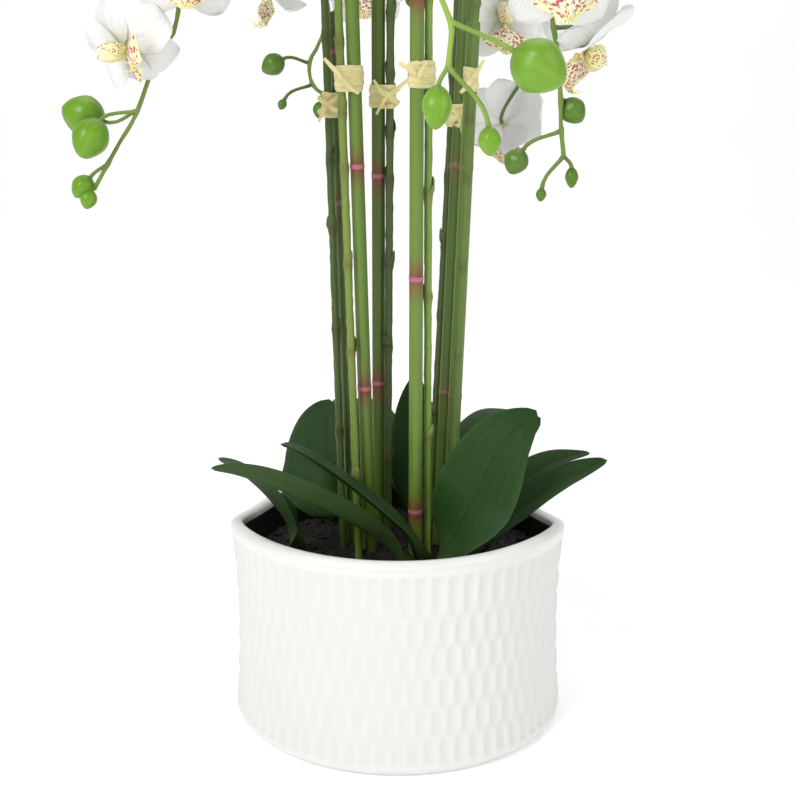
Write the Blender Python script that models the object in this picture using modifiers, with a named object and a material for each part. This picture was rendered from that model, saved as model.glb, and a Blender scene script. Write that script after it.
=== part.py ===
"""Potted moth orchid: six tied flower sprays and a clump of strap leaves in a white carved pot.

Metres, +Z up. The origin is the centre of the pot's flat foot. -Y is the front.
Run it with: blender --background --python part.py
"""

import math

import bmesh
import bpy
from mathutils import Matrix, Vector

# --- Clearances -----------------------------------------------------------------
GAP = 0.0004  # between pieces that touch
STALK_GAP = 0.0010  # between a bloom and the end of its stalk
SOCKET_GAP = 0.0006  # round a stem in its hole in the soil

# --- Pot ------------------------------------------------------------------------
POT_HEIGHT = 0.143
POT_END_RADIUS = 0.112  # outside, near the foot and at the rim
POT_WAIST_INSET = 0.0035
POT_WAIST_HEIGHT = 0.070
POT_WALL = 0.009
POT_FLOOR = 0.010
POT_FOOT_ROUNDING = 0.008
POT_SEGMENTS = 48
RIM_WAVE_DEPTH = 0.063  # the rim's dips fade out this far below the rim
RIM_WAVE_MIDDLE = 0.6  # where the wall has a ring of corners within the dips
RIM_DIPS = ((25, 35, 0.019), (157, 32, 0.016))  # azimuth, spread, depth

# --- Soil -----------------------------------------------------------------------
SOIL_BELOW_RIM = 0.039
SOIL_DOME = 0.007
SOIL_SIDE_GAP = 0.0015
SOIL_RINGS = (0, 0.4, 0.75)  # the dome's rings of corners, as shares of its radius
SOIL_SEGMENTS = 32
STEM_DEPTH = 0.055  # how far canes and sprays go down into the soil
HOLE_CLEAR = 0.020  # how far above the base level the holes are cut
HOLE_SIDES = 8
LEAF_DEPTH = 0.020

# --- Levels of the plant --------------------------------------------------------
BASE_BELOW_RIM = 0.025  # the level that the plant's heights are measured from
TIE_RISE = 0.312  # the level at which a cane's or stem's second place is given
ARCH_RISE = 0.482  # where the sprays stop being straight

# --- Canes: place at the base level, place at the tie level, height ---------------
CANE_RADIUS = 0.0045
CANE_TOP_RADIUS = 0.0042
CANE_SIDES = 12
RIGHT_CANE_FOOT = (0.034, 0.001)
RIGHT_CANES_GAP = 0.0010  # between the two right-hand canes at the base level
RIGHT_CANES_APART = 2 * CANE_RADIUS + RIGHT_CANES_GAP
RIGHT_BACK_FOOT = (
    RIGHT_CANE_FOOT[0] - 0.6 * RIGHT_CANES_APART,
    RIGHT_CANE_FOOT[1] + 0.8 * RIGHT_CANES_APART,
)
CANES = {
    "cane_left_back": ((-0.031, 0.0135), (-0.0385, 0.022), 0.342),
    "cane_left": ((-0.019, -0.006), (-0.0265, -0.017), 0.468),
    "cane_middle": ((-0.013, 0.023), (-0.012, 0.0065), 0.462),
    "cane_front": ((0.0115, -0.026), (0.0115, -0.040), 0.470),
    "cane_right_back": (RIGHT_BACK_FOOT, (0.041, 0.028), 0.465),
    "cane_right": (RIGHT_CANE_FOOT, (0.0465, 0.012), 0.336),
}

# --- Flower sprays --------------------------------------------------------------
STEM_RADIUS = 0.0026
TIP_RADIUS = 0.0012
STALK_RADIUS = 0.0012
ARCH_LEAD = 0.090  # how gently the arch leaves the straight part
ARCH_STEP = 0.022  # spacing of the points along the bent part
STALK_STEPS = 3
STALK_LEAVE = 0.3  # how straight a stalk leaves the stem, as a share of its reach
STALK_ARRIVE = 0.4  # how straight it meets its flower or bud
BUD_NARROWING = 0.25
BUD_STALK = 0.3  # how far back in a bud its stalk ends, as a share of the bud's length

# Each spray has its place at the base level and at the tie level, like its cane. Its arch runs
# on through points whose heights are measured from the arch level. A bloom is (place along the
# arch, counted in its points, centre, azimuth and rise of its face, roll, width). A bud is
# (place along the arch, centre, azimuth and rise of its axis, length, width).
SPRAYS = {
    "spray_left": {
        "foot": (-0.026, -0.0165),
        "tie": (-0.0345, -0.020),
        "arch": (
            (-0.048, -0.030, 0.110),
            (-0.070, -0.042, 0.190),
            (-0.098, -0.054, 0.195),
            (-0.116, -0.062, 0.120),
            (-0.120, -0.064, 0.020),
            (-0.119, -0.064, -0.080),
            (-0.126, -0.062, -0.145),
            (-0.137, -0.060, -0.161),
            (-0.152, -0.056, -0.196),
            (-0.164, -0.054, -0.215),
            (-0.176, -0.052, -0.234),
            (-0.181, -0.050, -0.242),
        ),
        "blooms": (
            (2.4, (-0.078, -0.080, 0.218), 275, 25, 0, 0.086),
            (3.4, (-0.148, -0.066, 0.160), 211, 12, 0, 0.087),
            (4.3, (-0.084, -0.096, 0.082), 285, 5, 0, 0.088),
            (5.2, (-0.158, -0.086, 0.000), 238, 0, 0, 0.088),
            (6.6, (-0.116, -0.090, -0.112), 278, -5, 0, 0.086),
            (7.6, (-0.153, -0.082, -0.160), 240, -20, 30, 0.076),
        ),
        "buds": (
            (9.0, (-0.186, -0.046, -0.199), 190, 20, 0.026, 0.025),
            (9.0, (-0.177, -0.072, -0.211), 240, -50, 0.026, 0.022),
            (10.6, (-0.188, -0.050, -0.241), 200, -50, 0.0155, 0.014),
            (12.0, (-0.184, -0.054, -0.248), 235, -65, 0.012, 0.0105),
        ),
    },
    "spray_left_back": {
        "foot": (-0.037, 0.0030),
        "tie": (-0.0445, 0.0125),
        "arch": (
            (-0.060, 0.036, 0.110),
            (-0.078, 0.066, 0.185),
            (-0.096, 0.092, 0.170),
            (-0.100, 0.106, 0.080),
            (-0.086, 0.106, -0.020),
            (-0.060, 0.100, -0.100),
            (-0.047, 0.095, -0.137),
            (-0.053, 0.090, -0.158),
            (-0.060, 0.086, -0.172),
            (-0.058, 0.082, -0.186),
            (-0.051, 0.080, -0.192),
        ),
        "blooms": (
            (2.2, (-0.108, 0.046, 0.205), 190, 20, 0, 0.086),
            (3.2, (-0.080, 0.130, 0.170), 95, 10, 0, 0.088),
            (4.4, (-0.136, 0.110, 0.060), 180, 0, 0, 0.088),
            (6.6, (-0.088, 0.096, -0.120), 165, -25, 0, 0.078),
        ),
        "buds": (
            (9.0, (-0.084, 0.078, -0.173), 190, -30, 0.017, 0.0155),
            (10.0, (-0.078, 0.074, -0.199), 200, -65, 0.0075, 0.0065),
            (11.0, (-0.053, 0.080, -0.203), 250, -75, 0.012, 0.010),
        ),
    },
    "spray_front": {
        "foot": (0.0195, -0.0195),
        "tie": (0.0185, -0.0345),
        "arch": (
            (0.015, -0.080, 0.105),
            (0.012, -0.130, 0.165),
            (0.012, -0.185, 0.150),
            (0.010, -0.228, 0.080),
            (0.008, -0.246, -0.010),
            (0.010, -0.250, -0.075),
            (0.015, -0.250, -0.121),
            (0.020, -0.250, -0.138),
            (0.024, -0.250, -0.147),
            (0.024, -0.250, -0.155),
            (0.023, -0.250, -0.166),
        ),
        "blooms": (
            (1.9, (0.044, -0.122, 0.198), 325, 30, 0, 0.086),
            (2.7, (-0.028, -0.178, 0.180), 235, 20, 0, 0.088),
            (3.5, (0.044, -0.222, 0.120), 300, 10, 0, 0.088),
            (4.3, (-0.030, -0.248, 0.062), 250, 5, 0, 0.088),
            (5.3, (0.040, -0.268, -0.012), 290, 0, 0, 0.086),
        ),
        "buds": (
            (9.0, (0.063, -0.255, -0.166), 340, -30, 0.027, 0.0255),
            (11.0, (0.018, -0.250, -0.184), 260, -70, 0.0205, 0.014),
            (11.0, (0.042, -0.250, -0.199), 290, -78, 0.0135, 0.011),
        ),
    },
    "spray_right": {
        "foot": (0.034, -0.0085),
        "tie": (0.0465, 0.0025),
        "arch": (
            (0.060, -0.024, 0.110),
            (0.078, -0.064, 0.175),
            (0.098, -0.100, 0.150),
            (0.106, -0.122, 0.070),
            (0.098, -0.126, -0.020),
            (0.086, -0.122, -0.100),
            (0.082, -0.120, -0.138),
            (0.085, -0.120, -0.158),
            (0.088, -0.118, -0.182),
            (0.089, -0.116, -0.199),
            (0.091, -0.116, -0.217),
        ),
        "blooms": (
            (2.1, (0.118, -0.062, 0.200), 335, 25, 0, 0.086),
            (3.2, (0.092, -0.146, 0.136), 275, 12, 0, 0.088),
            (4.2, (0.144, -0.140, 0.070), 315, 5, 0, 0.088),
            (6.2, (0.083, -0.152, -0.118), 282, -5, 0, 0.088),
            (7.6, (0.104, -0.104, -0.158), 30, -65, 0, 0.074),
        ),
        "buds": (
            (9.2, (0.096, -0.112, -0.193), 350, -50, 0.0155, 0.015),
            (10.3, (0.065, -0.118, -0.220), 215, -55, 0.015, 0.014),
            (11.0, (0.096, -0.114, -0.229), 270, -80, 0.0115, 0.0075),
            (11.0, (0.079, -0.118, -0.238), 245, -75, 0.0075, 0.006),
        ),
    },
    "spray_right_back": {
        "foot": (RIGHT_BACK_FOOT[0] - 0.0065, RIGHT_BACK_FOOT[1] + 0.0075),
        "tie": (0.0365, 0.0352),
        "arch": (
            (0.064, 0.062, 0.115),
            (0.090, 0.090, 0.190),
            (0.118, 0.108, 0.180),
            (0.130, 0.116, 0.100),
            (0.122, 0.114, 0.000),
            (0.106, 0.108, -0.090),
            (0.096, 0.104, -0.150),
            (0.092, 0.102, -0.175),
        ),
        "blooms": (
            (2.6, (0.112, 0.136, 0.210), 55, 20, 0, 0.088),
            (4.2, (0.170, 0.108, 0.090), 350, 5, 0, 0.088),
            (6.6, (0.070, 0.078, -0.140), 285, -5, 0, 0.080),
            (8.0, (0.073, 0.096, -0.214), 70, -25, 0, 0.074),
        ),
        "buds": (
            (7.0, (0.104, 0.094, -0.165), 320, -30, 0.014, 0.012),
            (8.0, (0.098, 0.096, -0.183), 300, -60, 0.010, 0.008),
        ),
    },
    "spray_back": {
        "foot": (-0.0070, 0.0150),
        "tie": (-0.0045, 0.0030),
        "arch": (
            (0.000, 0.030, 0.110),
            (0.006, 0.080, 0.190),
            (0.008, 0.130, 0.185),
            (0.006, 0.158, 0.110),
            (0.002, 0.160, 0.010),
            (-0.002, 0.150, -0.070),
            (0.000, 0.142, -0.110),
        ),
        "blooms": (
            (2.6, (0.036, 0.130, 0.215), 60, 25, 0, 0.086),
            (3.8, (-0.034, 0.170, 0.120), 120, 5, 0, 0.088),
            (5.0, (0.034, 0.186, 0.015), 65, 0, 0, 0.088),
            (6.4, (-0.022, 0.122, -0.118), 265, -5, 0, 0.078),
        ),
        "buds": (
            (6.6, (0.026, 0.146, -0.094), 10, -20, 0.016, 0.014),
            (7.0, (0.010, 0.142, -0.130), 300, -60, 0.012, 0.010),
        ),
    },
}

# --- Raffia ties: the cane and the spray that each holds, and its height ----------
TIE_THICKNESS = 0.0013
TIE_WIDTH = 0.014
TIE_SLACK = 0.0005  # between a band and what it holds
TIE_ARC_STEPS = 6
TIES = {
    "tie_left_back": ("cane_left_back", "spray_left_back", 0.286),
    "tie_left": ("cane_left", "spray_left", 0.303),
    "tie_middle": ("cane_middle", "spray_back", 0.292),
    "tie_front": ("cane_front", "spray_front", 0.306),
    "tie_right": ("cane_right", "spray_right", 0.302),
    "tie_right_back": ("cane_right_back", "spray_right_back", 0.279),
}

# --- Leaves: foot, points of the midrib above the base level, width, roll, fold ----
LEAF_THICKNESS = 0.0018
LEAF_SECTIONS = 9
LEAF_STALK_RADIUS = 0.0040
LEAF_NECK = 0.008  # the length of bare stalk above the soil
LEAF_OPENS = 4  # the stalk has turned into blade at one part in this many of the length
LEAF_STALK_FLAT = 0.7  # a stalk's thickness, as a share of its width
LEAF_UPPER = ((-1, 0.5), (-0.5, 1), (0, 1), (0.5, 1), (1, 0.5))
LEAF_SECTION = (*LEAF_UPPER, *((across, -face) for across, face in reversed(LEAF_UPPER)))
LEAVES = {
    "leaf_left_front": (
        (0.018, -0.052),
        (
            (-0.008, -0.060, 0.019),
            (-0.044, -0.062, 0.042),
            (-0.092, -0.060, 0.062),
            (-0.117, -0.056, 0.067),
        ),
        0.046,
        25,
        30,
    ),
    "leaf_left_edge": (
        (0.022, -0.040),
        (
            (0.007, -0.046, 0.018),
            (-0.025, -0.047, 0.048),
            (-0.061, -0.048, 0.075),
            (-0.074, -0.047, 0.080),
        ),
        0.040,
        5,
        15,
    ),
    "leaf_left_under": (
        (-0.062, -0.016),
        (
            (-0.070, -0.015, 0.010),
            (-0.080, -0.015, 0.028),
            (-0.098, -0.014, 0.047),
            (-0.118, -0.012, 0.060),
        ),
        0.050,
        20,
        22,
    ),
    "leaf_left_broad": (
        (-0.038, 0.046),
        ((-0.043, 0.0495, 0.011), (-0.049, 0.0535, 0.047), (-0.048, 0.0565, 0.082)),
        0.079,
        -80,
        8,
    ),
    "leaf_back": (
        (0.014, 0.040),
        ((0.012, 0.046, 0.030), (0.011, 0.048, 0.066), (0.012, 0.050, 0.101)),
        0.036,
        6,
        14,
    ),
    "leaf_back_low": (
        (0.018, 0.057),
        ((0.013, 0.068, 0.022), (0.010, 0.079, 0.050), (0.004, 0.092, 0.070)),
        0.040,
        -30,
        15,
    ),
    "leaf_right_broad": (
        (0.024, -0.060),
        (
            (0.034, -0.060, 0.018),
            (0.048, -0.060, 0.047),
            (0.064, -0.059, 0.082),
            (0.086, -0.054, 0.104),
        ),
        0.054,
        60,
        16,
    ),
    "leaf_right_twin": (
        (0.046, 0.012),
        (
            (0.051, 0.014, 0.018),
            (0.059, 0.014, 0.044),
            (0.073, 0.014, 0.066),
            (0.096, 0.014, 0.080),
        ),
        0.042,
        60,
        14,
    ),
    "leaf_right_upper": (
        (0.052, -0.020),
        (
            (0.060, -0.018, 0.018),
            (0.078, -0.014, 0.041),
            (0.101, -0.008, 0.055),
            (0.128, 0.000, 0.060),
        ),
        0.026,
        15,
        25,
    ),
    "leaf_right_low": (
        (0.046, -0.046),
        (
            (0.053, -0.046, 0.009),
            (0.073, -0.044, 0.031),
            (0.105, -0.040, 0.053),
            (0.134, -0.036, 0.066),
        ),
        0.031,
        20,
        25,
    ),
    "leaf_back_left": (
        (-0.014, 0.075),
        ((-0.020, 0.090, 0.030), (-0.030, 0.116, 0.056), (-0.040, 0.144, 0.058)),
        0.052,
        0,
        22,
    ),
    "leaf_back_right": (
        (0.046, 0.054),
        ((0.056, 0.068, 0.030), (0.072, 0.092, 0.052), (0.088, 0.124, 0.054)),
        0.052,
        0,
        22,
    ),
}

# --- Flower head ----------------------------------------------------------------
PETAL_THICKNESS = 0.0015
HEAD_WIDTH = 0.088  # the width that the petals' thickness is given at
CORE_SHARE = 0.085  # the head's flat core, as a share of its width
CORE_BACK = 0.030  # how far the core stands out behind, as a share of the head's width
# Each petal or sepal: azimuth round the face, half angle, reach (of half the width), lean forward.
TEPALS = (
    (90, 30, 0.98, -0.05),
    (160, 40, 1.00, 0.10),
    (232, 29, 0.94, -0.06),
    (308, 29, 0.94, -0.06),
    (20, 40, 1.00, 0.10),
)
TEPAL_PROFILE = ((-0.90, 0.48), (-0.42, 0.97), (0.42, 0.97), (0.90, 0.48))
LIP_FORWARD = 0.17  # of the head's width
LIP_DROP = 0.08

MATERIALS = {
    "pot_white": ((0.86, 0.86, 0.83, 1), 0.35),
    "soil": ((0.012, 0.011, 0.009, 1), 0.95),
    "cane": ((0.17, 0.32, 0.05, 1), 0.40),
    "stem": ((0.16, 0.33, 0.05, 1), 0.45),
    "raffia": ((0.75, 0.60, 0.30, 1), 0.70),
    "leaf": ((0.020, 0.085, 0.022, 1), 0.38),
    "petal": ((0.88, 0.88, 0.87, 1), 0.55),
}
UP = Vector((0, 0, 1))


def material(name):
    found = bpy.data.materials.get(name)
    if found:
        return found
    colour, roughness = MATERIALS[name]
    made = bpy.data.materials.new(name)
    made.use_nodes = True
    shader = made.node_tree.nodes["Principled BSDF"]
    shader.inputs["Base Color"].default_value = colour
    shader.inputs["Roughness"].default_value = roughness
    shader.inputs["Metallic"].default_value = 0.0
    made.diffuse_color = colour
    return made


def clear_scene():
    for obj in list(bpy.data.objects):
        bpy.data.objects.remove(obj, do_unlink=True)


def collection(name):
    made = bpy.data.collections.new(name)
    bpy.context.scene.collection.children.link(made)
    return made


def add(name, data, home, finish=None):
    """An object of this data in the collection, with its material."""
    obj = bpy.data.objects.new(name, data)
    home.objects.link(obj)
    if finish and not data.materials:
        data.materials.append(material(finish))
    return obj


def helper(obj):
    """Marks a cutter, or a piece that a Boolean joins into another."""
    obj.hide_render = True
    obj.display_type = "WIRE"
    return obj


def mesh_from(bm, name, smooth_angle=40):
    mesh = bpy.data.meshes.new(name)
    bm.to_mesh(mesh)
    bm.free()
    mesh.shade_smooth()
    mesh.set_sharp_from_angle(angle=math.radians(smooth_angle))
    return mesh


def baked(obj):
    """Replaces a curve or an object with modifiers by its plain mesh, with its seams welded."""
    bpy.context.view_layer.update()
    graph = bpy.context.evaluated_depsgraph_get()
    mesh = bpy.data.meshes.new_from_object(obj.evaluated_get(graph))
    bm = bmesh.new()
    bm.from_mesh(mesh)
    bmesh.ops.remove_doubles(bm, verts=bm.verts, dist=1e-6)
    bm.to_mesh(mesh)
    bm.free()
    name, home, world = obj.name, obj.users_collection[0], obj.matrix_world.copy()
    bpy.data.objects.remove(obj, do_unlink=True)
    made = bpy.data.objects.new(name, mesh)
    home.objects.link(made)
    made.matrix_world = world
    return made


# --- Directions, levels and curves ----------------------------------------------
def direction(azimuth, rise):
    """The unit vector at this azimuth round +Z and this rise above the horizon, in degrees."""
    a, e = math.radians(azimuth), math.radians(rise)
    return Vector((math.cos(a) * math.cos(e), math.sin(a) * math.cos(e), math.sin(e)))


def base_level():
    return POT_HEIGHT - BASE_BELOW_RIM


def above_base(point):
    return Vector(point) + UP * base_level()


def above_arch_level(point):
    return Vector(point) + UP * (base_level() + ARCH_RISE)


def smooth_step(x):
    x = min(max(x, 0.0), 1.0)
    return x * x * (3 - 2 * x)


class Path:
    """A smooth Catmull-Rom curve. Place 2.5 is halfway between its points 2 and 3.

    It sets off as if it came from the point before, where one is given.
    """

    def __init__(self, points, before=None):
        self.points = [Vector(p) for p in points]
        self.before = before or 2 * self.points[0] - self.points[1]

    def at(self, place):
        points = self.points
        i = min(int(place), len(points) - 2)
        t = place - i
        p1, p2 = points[i], points[i + 1]
        p0 = points[i - 1] if i > 0 else self.before
        p3 = points[i + 2] if i + 2 < len(points) else 2 * p2 - p1
        bend = 3 * (p1 - p2) + p3 - p0
        return p1 + 0.5 * ((p2 - p0) * t + (2 * p0 - 5 * p1 + 4 * p2 - p3) * t * t + bend * t**3)

    def spaced(self, step):
        """Points along the curve about this far apart, each of its own points among them."""
        found = [self.points[0]]
        for i, (a, b) in enumerate(zip(self.points, self.points[1:])):
            count = max(1, round((b - a).length / step))
            found += [self.at(i + (k + 1) / count) for k in range(count)]
        return found

    def even(self, count):
        """This many points at equal distances along the curve, and the direction at each."""
        fine = self.spaced(0.002)
        lengths = [0.0]
        for a, b in zip(fine, fine[1:]):
            lengths.append(lengths[-1] + (b - a).length)
        found, i = [], 0
        for k in range(count):
            wanted = lengths[-1] * k / (count - 1)
            while i < len(fine) - 2 and lengths[i + 1] < wanted:
                i += 1
            t = (wanted - lengths[i]) / (lengths[i + 1] - lengths[i])
            found.append((fine[i].lerp(fine[i + 1], t), (fine[i + 1] - fine[i]).normalized()))
        return found, lengths[-1]


def tube(name, points, radii, home, resolution=1):
    """A tube through the points, as a mesh with welded caps."""
    data = bpy.data.curves.new(name, "CURVE")
    data.dimensions = "3D"
    data.bevel_depth = 1.0
    data.bevel_resolution = resolution
    data.use_fill_caps = True
    spline = data.splines.new("POLY")
    spline.points.add(len(points) - 1)
    for target, point, radius in zip(spline.points, points, radii):
        target.co = (*point, 1)
        target.radius = radius
    return baked(add(name, data, home))


def on_line(foot, tie, rise):
    """The point this far above the base level on the straight line of a cane or stem."""
    low, high = above_base((*foot, 0)), above_base((*tie, TIE_RISE))
    return low.lerp(high, rise / TIE_RISE)


# --- Pot and soil ---------------------------------------------------------------
def pot_radius(z):
    """The pot's outside radius at a height: a slight waist between foot and rim."""
    reach = POT_HEIGHT - POT_WAIST_HEIGHT if z > POT_WAIST_HEIGHT else POT_WAIST_HEIGHT
    return POT_END_RADIUS - POT_WAIST_INSET * (1 - ((z - POT_WAIST_HEIGHT) / reach) ** 2)


def rim_drop(azimuth):
    """How far the rim dips below its full height at this azimuth, in degrees."""
    drop = 0.0
    for centre, spread, depth in RIM_DIPS:
        turn = (azimuth - centre + 180) % 360 - 180
        drop += depth * math.exp(-((turn / spread) ** 2))
    return drop


def turned(name, profile, home, segments, finish):
    """A turned shape from (radius, height) pairs that run down the outer side."""
    bm = bmesh.new()
    corners = [bm.verts.new((radius, 0, height)) for radius, height in profile]
    for a, b in zip(corners, corners[1:]):
        bm.edges.new((a, b))
    obj = add(name, mesh_from(bm, name), home)
    screw = obj.modifiers.new("Turn", "SCREW")
    screw.steps = screw.render_steps = segments
    screw.use_merge_vertices = True
    screw.merge_threshold = 1e-6
    obj = baked(obj)
    obj.data.materials.append(material(finish))
    obj.data.shade_smooth()
    return obj


def arc(centre, height, radius, angles):
    """(radius, height) pairs round a corner of a turned profile."""
    turns = [math.radians(a) for a in angles]
    return [(centre + radius * math.cos(t), height + radius * math.sin(t)) for t in turns]


def pot(home):
    lip = POT_WALL / 2
    wave_foot = POT_HEIGHT - RIM_WAVE_DEPTH
    wave_middle = wave_foot + RIM_WAVE_DEPTH * RIM_WAVE_MIDDLE
    heights = (POT_FLOOR + POT_WALL, POT_WAIST_HEIGHT, wave_foot, wave_middle)
    inner = [(pot_radius(z) - POT_WALL, z) for z in heights]
    rim = arc(POT_END_RADIUS - lip, POT_HEIGHT - lip, lip, (180, 135, 90, 45, 0))
    outer = [(pot_radius(z), z) for z in heights[:0:-1]]
    foot_centre = pot_radius(POT_FOOT_ROUNDING) - POT_FOOT_ROUNDING
    foot = arc(foot_centre, POT_FOOT_ROUNDING, POT_FOOT_ROUNDING, (0, -45, -90))
    floor = [(0, POT_FLOOR), (pot_radius(POT_FLOOR) - 1.5 * POT_WALL, POT_FLOOR)]
    profile = [*floor, *inner, *rim, *outer, *foot, (0, 0)]
    obj = turned("pot", profile, home, POT_SEGMENTS, "pot_white")
    for vertex in obj.data.vertices:
        x, y, z = vertex.co
        share = smooth_step((z - wave_foot) / RIM_WAVE_DEPTH)
        vertex.co.z -= rim_drop(math.degrees(math.atan2(y, x))) * share
    return obj


def soil_height(x, y):
    """The height of the soil's top: a low dome."""
    share = math.hypot(x, y) / (POT_END_RADIUS - POT_WALL)
    return POT_HEIGHT - SOIL_BELOW_RIM + SOIL_DOME * (1 - min(share, 1.0) ** 2)


def soil(home, cutters):
    bottom = POT_FLOOR + GAP
    edge = POT_HEIGHT - SOIL_BELOW_RIM
    side = [
        (pot_radius(z) - POT_WALL - SOIL_SIDE_GAP, z)
        for z in (edge, POT_WAIST_HEIGHT, POT_FLOOR + 2 * POT_WALL)
    ]
    reach = side[0][0]
    top = [(reach * share, soil_height(reach * share, 0)) for share in SOIL_RINGS]
    base_radius = pot_radius(POT_FLOOR) - 2 * POT_WALL
    profile = [*top, *side, (base_radius, bottom), (0, bottom)]
    obj = turned("soil", profile, home, SOIL_SEGMENTS, "soil")
    cut = obj.modifiers.new("Holes", "BOOLEAN")
    cut.operation = "DIFFERENCE"
    cut.operand_type = "COLLECTION"
    cut.collection = cutters
    return obj


def rod(name, start, end, radius, end_radius, sides):
    """A straight round rod between two points, as a mesh about its middle, and its placement."""
    axis = end - start
    bm = bmesh.new()
    bmesh.ops.create_cone(
        bm,
        cap_ends=True,
        segments=sides,
        radius1=radius,
        radius2=end_radius,
        depth=axis.length,
    )
    return mesh_from(bm, name), (start + end) / 2, axis.to_track_quat("Z", "Y").to_euler()


def hole(name, start, end, radius, cutters):
    """A round cutter from start, in the soil, out to end."""
    facet = 1 / math.cos(math.pi / HOLE_SIDES)
    mesh, middle, turn = rod(name, start, end, radius * facet, radius * facet, HOLE_SIDES)
    obj = helper(add(name, mesh, cutters))
    obj.location = middle
    obj.rotation_euler = turn


def stem_hole(name, foot, tie, low, radius, cutters):
    """The hole that a cane or stem stands in."""
    top = on_line(foot, tie, HOLE_CLEAR)
    start = low - (top - low).normalized() * SOCKET_GAP
    hole(name + "_hole", start, top, radius + SOCKET_GAP, cutters)


# --- Canes ----------------------------------------------------------------------
def cane(name, foot, tie, height, home, cutters):
    low = on_line(foot, tie, soil_height(*foot) - STEM_DEPTH - base_level())
    high = on_line(foot, tie, height)
    mesh, middle, turn = rod(name, low, high, CANE_RADIUS, CANE_TOP_RADIUS, CANE_SIDES)
    obj = add(name, mesh, home, "cane")
    obj.location = middle
    obj.rotation_euler = turn
    stem_hole(name, foot, tie, low, CANE_RADIUS, cutters)
    return obj


# --- Flower sprays --------------------------------------------------------------
def egg(name, centre, axis, length, width, home):
    """A closed bud: a sphere drawn out along its axis and narrowed to its tip."""
    bm = bmesh.new()
    bmesh.ops.create_uvsphere(bm, u_segments=8, v_segments=5, radius=1)
    for vertex in bm.verts:
        narrow = 1 - BUD_NARROWING * max(vertex.co.z, 0)
        vertex.co = Vector((vertex.co.x * narrow, vertex.co.y * narrow, vertex.co.z))
    bmesh.ops.scale(bm, vec=(width / 2, width / 2, length / 2), verts=bm.verts)
    bm.transform(Matrix.Translation(centre) @ axis.to_track_quat("Z", "Y").to_matrix().to_4x4())
    return helper(add(name, mesh_from(bm, name), home))


def stalk(name, start, end, arrive, home):
    """A short curved stalk from the stem that arrives in this direction."""
    reach = (end - start).length
    a = start + (end - start).normalized() * reach * STALK_LEAVE
    b = end - arrive * reach * STALK_ARRIVE
    points = []
    for k in range(STALK_STEPS + 1):
        t, s = k / STALK_STEPS, 1 - k / STALK_STEPS
        points.append(start * s**3 + a * 3 * t * s * s + b * 3 * t * t * s + end * t**3)
    return helper(tube(name, points, [STALK_RADIUS] * len(points), home, 0))


def head_turn(azimuth, rise, roll):
    """The rotation that faces a flower head this way. Its own +Z is the face and +Y is up."""
    face = direction(azimuth, rise)
    side = UP.cross(face).normalized()
    turn = Matrix((side, face.cross(side), face)).transposed()
    return (turn @ Matrix.Rotation(math.radians(roll), 3, "Z")).to_4x4()


def spray(name, spec, home, cutters, head):
    foot, tie = spec["foot"], spec["tie"]
    low = on_line(foot, tie, soil_height(*foot) - STEM_DEPTH - base_level())
    start = on_line(foot, tie, ARCH_RISE)
    before = on_line(foot, tie, ARCH_RISE - ARCH_LEAD)
    path = Path([start, *map(above_arch_level, spec["arch"])], before)
    bent = path.spaced(ARCH_STEP)
    thinning = (TIP_RADIUS - STEM_RADIUS) / (len(bent) - 1)
    taper = [STEM_RADIUS + thinning * k for k in range(len(bent))]
    points = [low, on_line(foot, tie, TIE_RISE), *bent]

    def nearest(place):
        return min(bent, key=lambda point: (point - path.at(place)).length)

    obj = tube(name, points, [STEM_RADIUS, STEM_RADIUS, *taper], home)
    obj.data.materials.append(material("stem"))
    grafts = collection(name + "_grafts")
    short = name.removeprefix("spray_")
    for number, (place, centre, *pose, width) in enumerate(spec["blooms"], 1):
        label = f"bloom_{short}_{number}"
        centre, turn = above_arch_level(centre), head_turn(*pose)
        face = turn.col[2].to_3d()
        back = width * CORE_BACK + STALK_GAP
        stalk(label + "_stalk", nearest(place), centre - face * back, face, grafts)
        flower = add(label, head, home, "petal")
        flower.matrix_world = Matrix.Translation(centre) @ turn @ Matrix.Scale(width, 4)
    for number, (place, centre, azimuth, rise, length, width) in enumerate(spec["buds"], 1):
        label = f"bud_{short}_{number}"
        centre, axis = above_arch_level(centre), direction(azimuth, rise)
        end = centre - axis * length * BUD_STALK
        stalk(label + "_stalk", nearest(place), end, axis, grafts)
        egg(label, centre, axis, length, width, grafts)
    join = obj.modifiers.new("Grow", "BOOLEAN")
    join.operation = "UNION"
    join.operand_type = "COLLECTION"
    join.collection = grafts
    stem_hole(name, foot, tie, low, STEM_RADIUS, cutters)
    return obj


def flower_head():
    """One flower head of unit width: five petals and sepals, with the lip as a low cone."""
    petals = [(*tepal, *point) for tepal in TEPALS for point in TEPAL_PROFILE]
    bm = bmesh.new()
    bmesh.ops.create_uvsphere(bm, u_segments=len(petals), v_segments=5, radius=1)
    thickness = PETAL_THICKNESS / HEAD_WIDTH
    for vertex in bm.verts:
        x, y, z = vertex.co
        at_pole, at_edge = math.hypot(x, y) < 0.01, abs(z) < 0.5
        back = 0.0 if z > 0 else -thickness
        if at_pole:
            vertex.co = (0, -LIP_DROP, LIP_FORWARD) if z > 0 else (0, 0, -CORE_BACK)
            continue
        step = round(math.degrees(math.atan2(y, x)) % 360 * len(petals) / 360) % len(petals)
        azimuth, half, reach, lean, across, fullness = petals[step]
        angle = math.radians(azimuth + half * across)
        radius = 0.5 * reach * fullness if at_edge else CORE_SHARE
        height = back + (2 * radius * lean if at_edge else 0.0)
        vertex.co = (radius * math.cos(angle), radius * math.sin(angle), height)
    bmesh.ops.recalc_face_normals(bm, faces=bm.faces)
    return mesh_from(bm, "flower_head")


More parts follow.
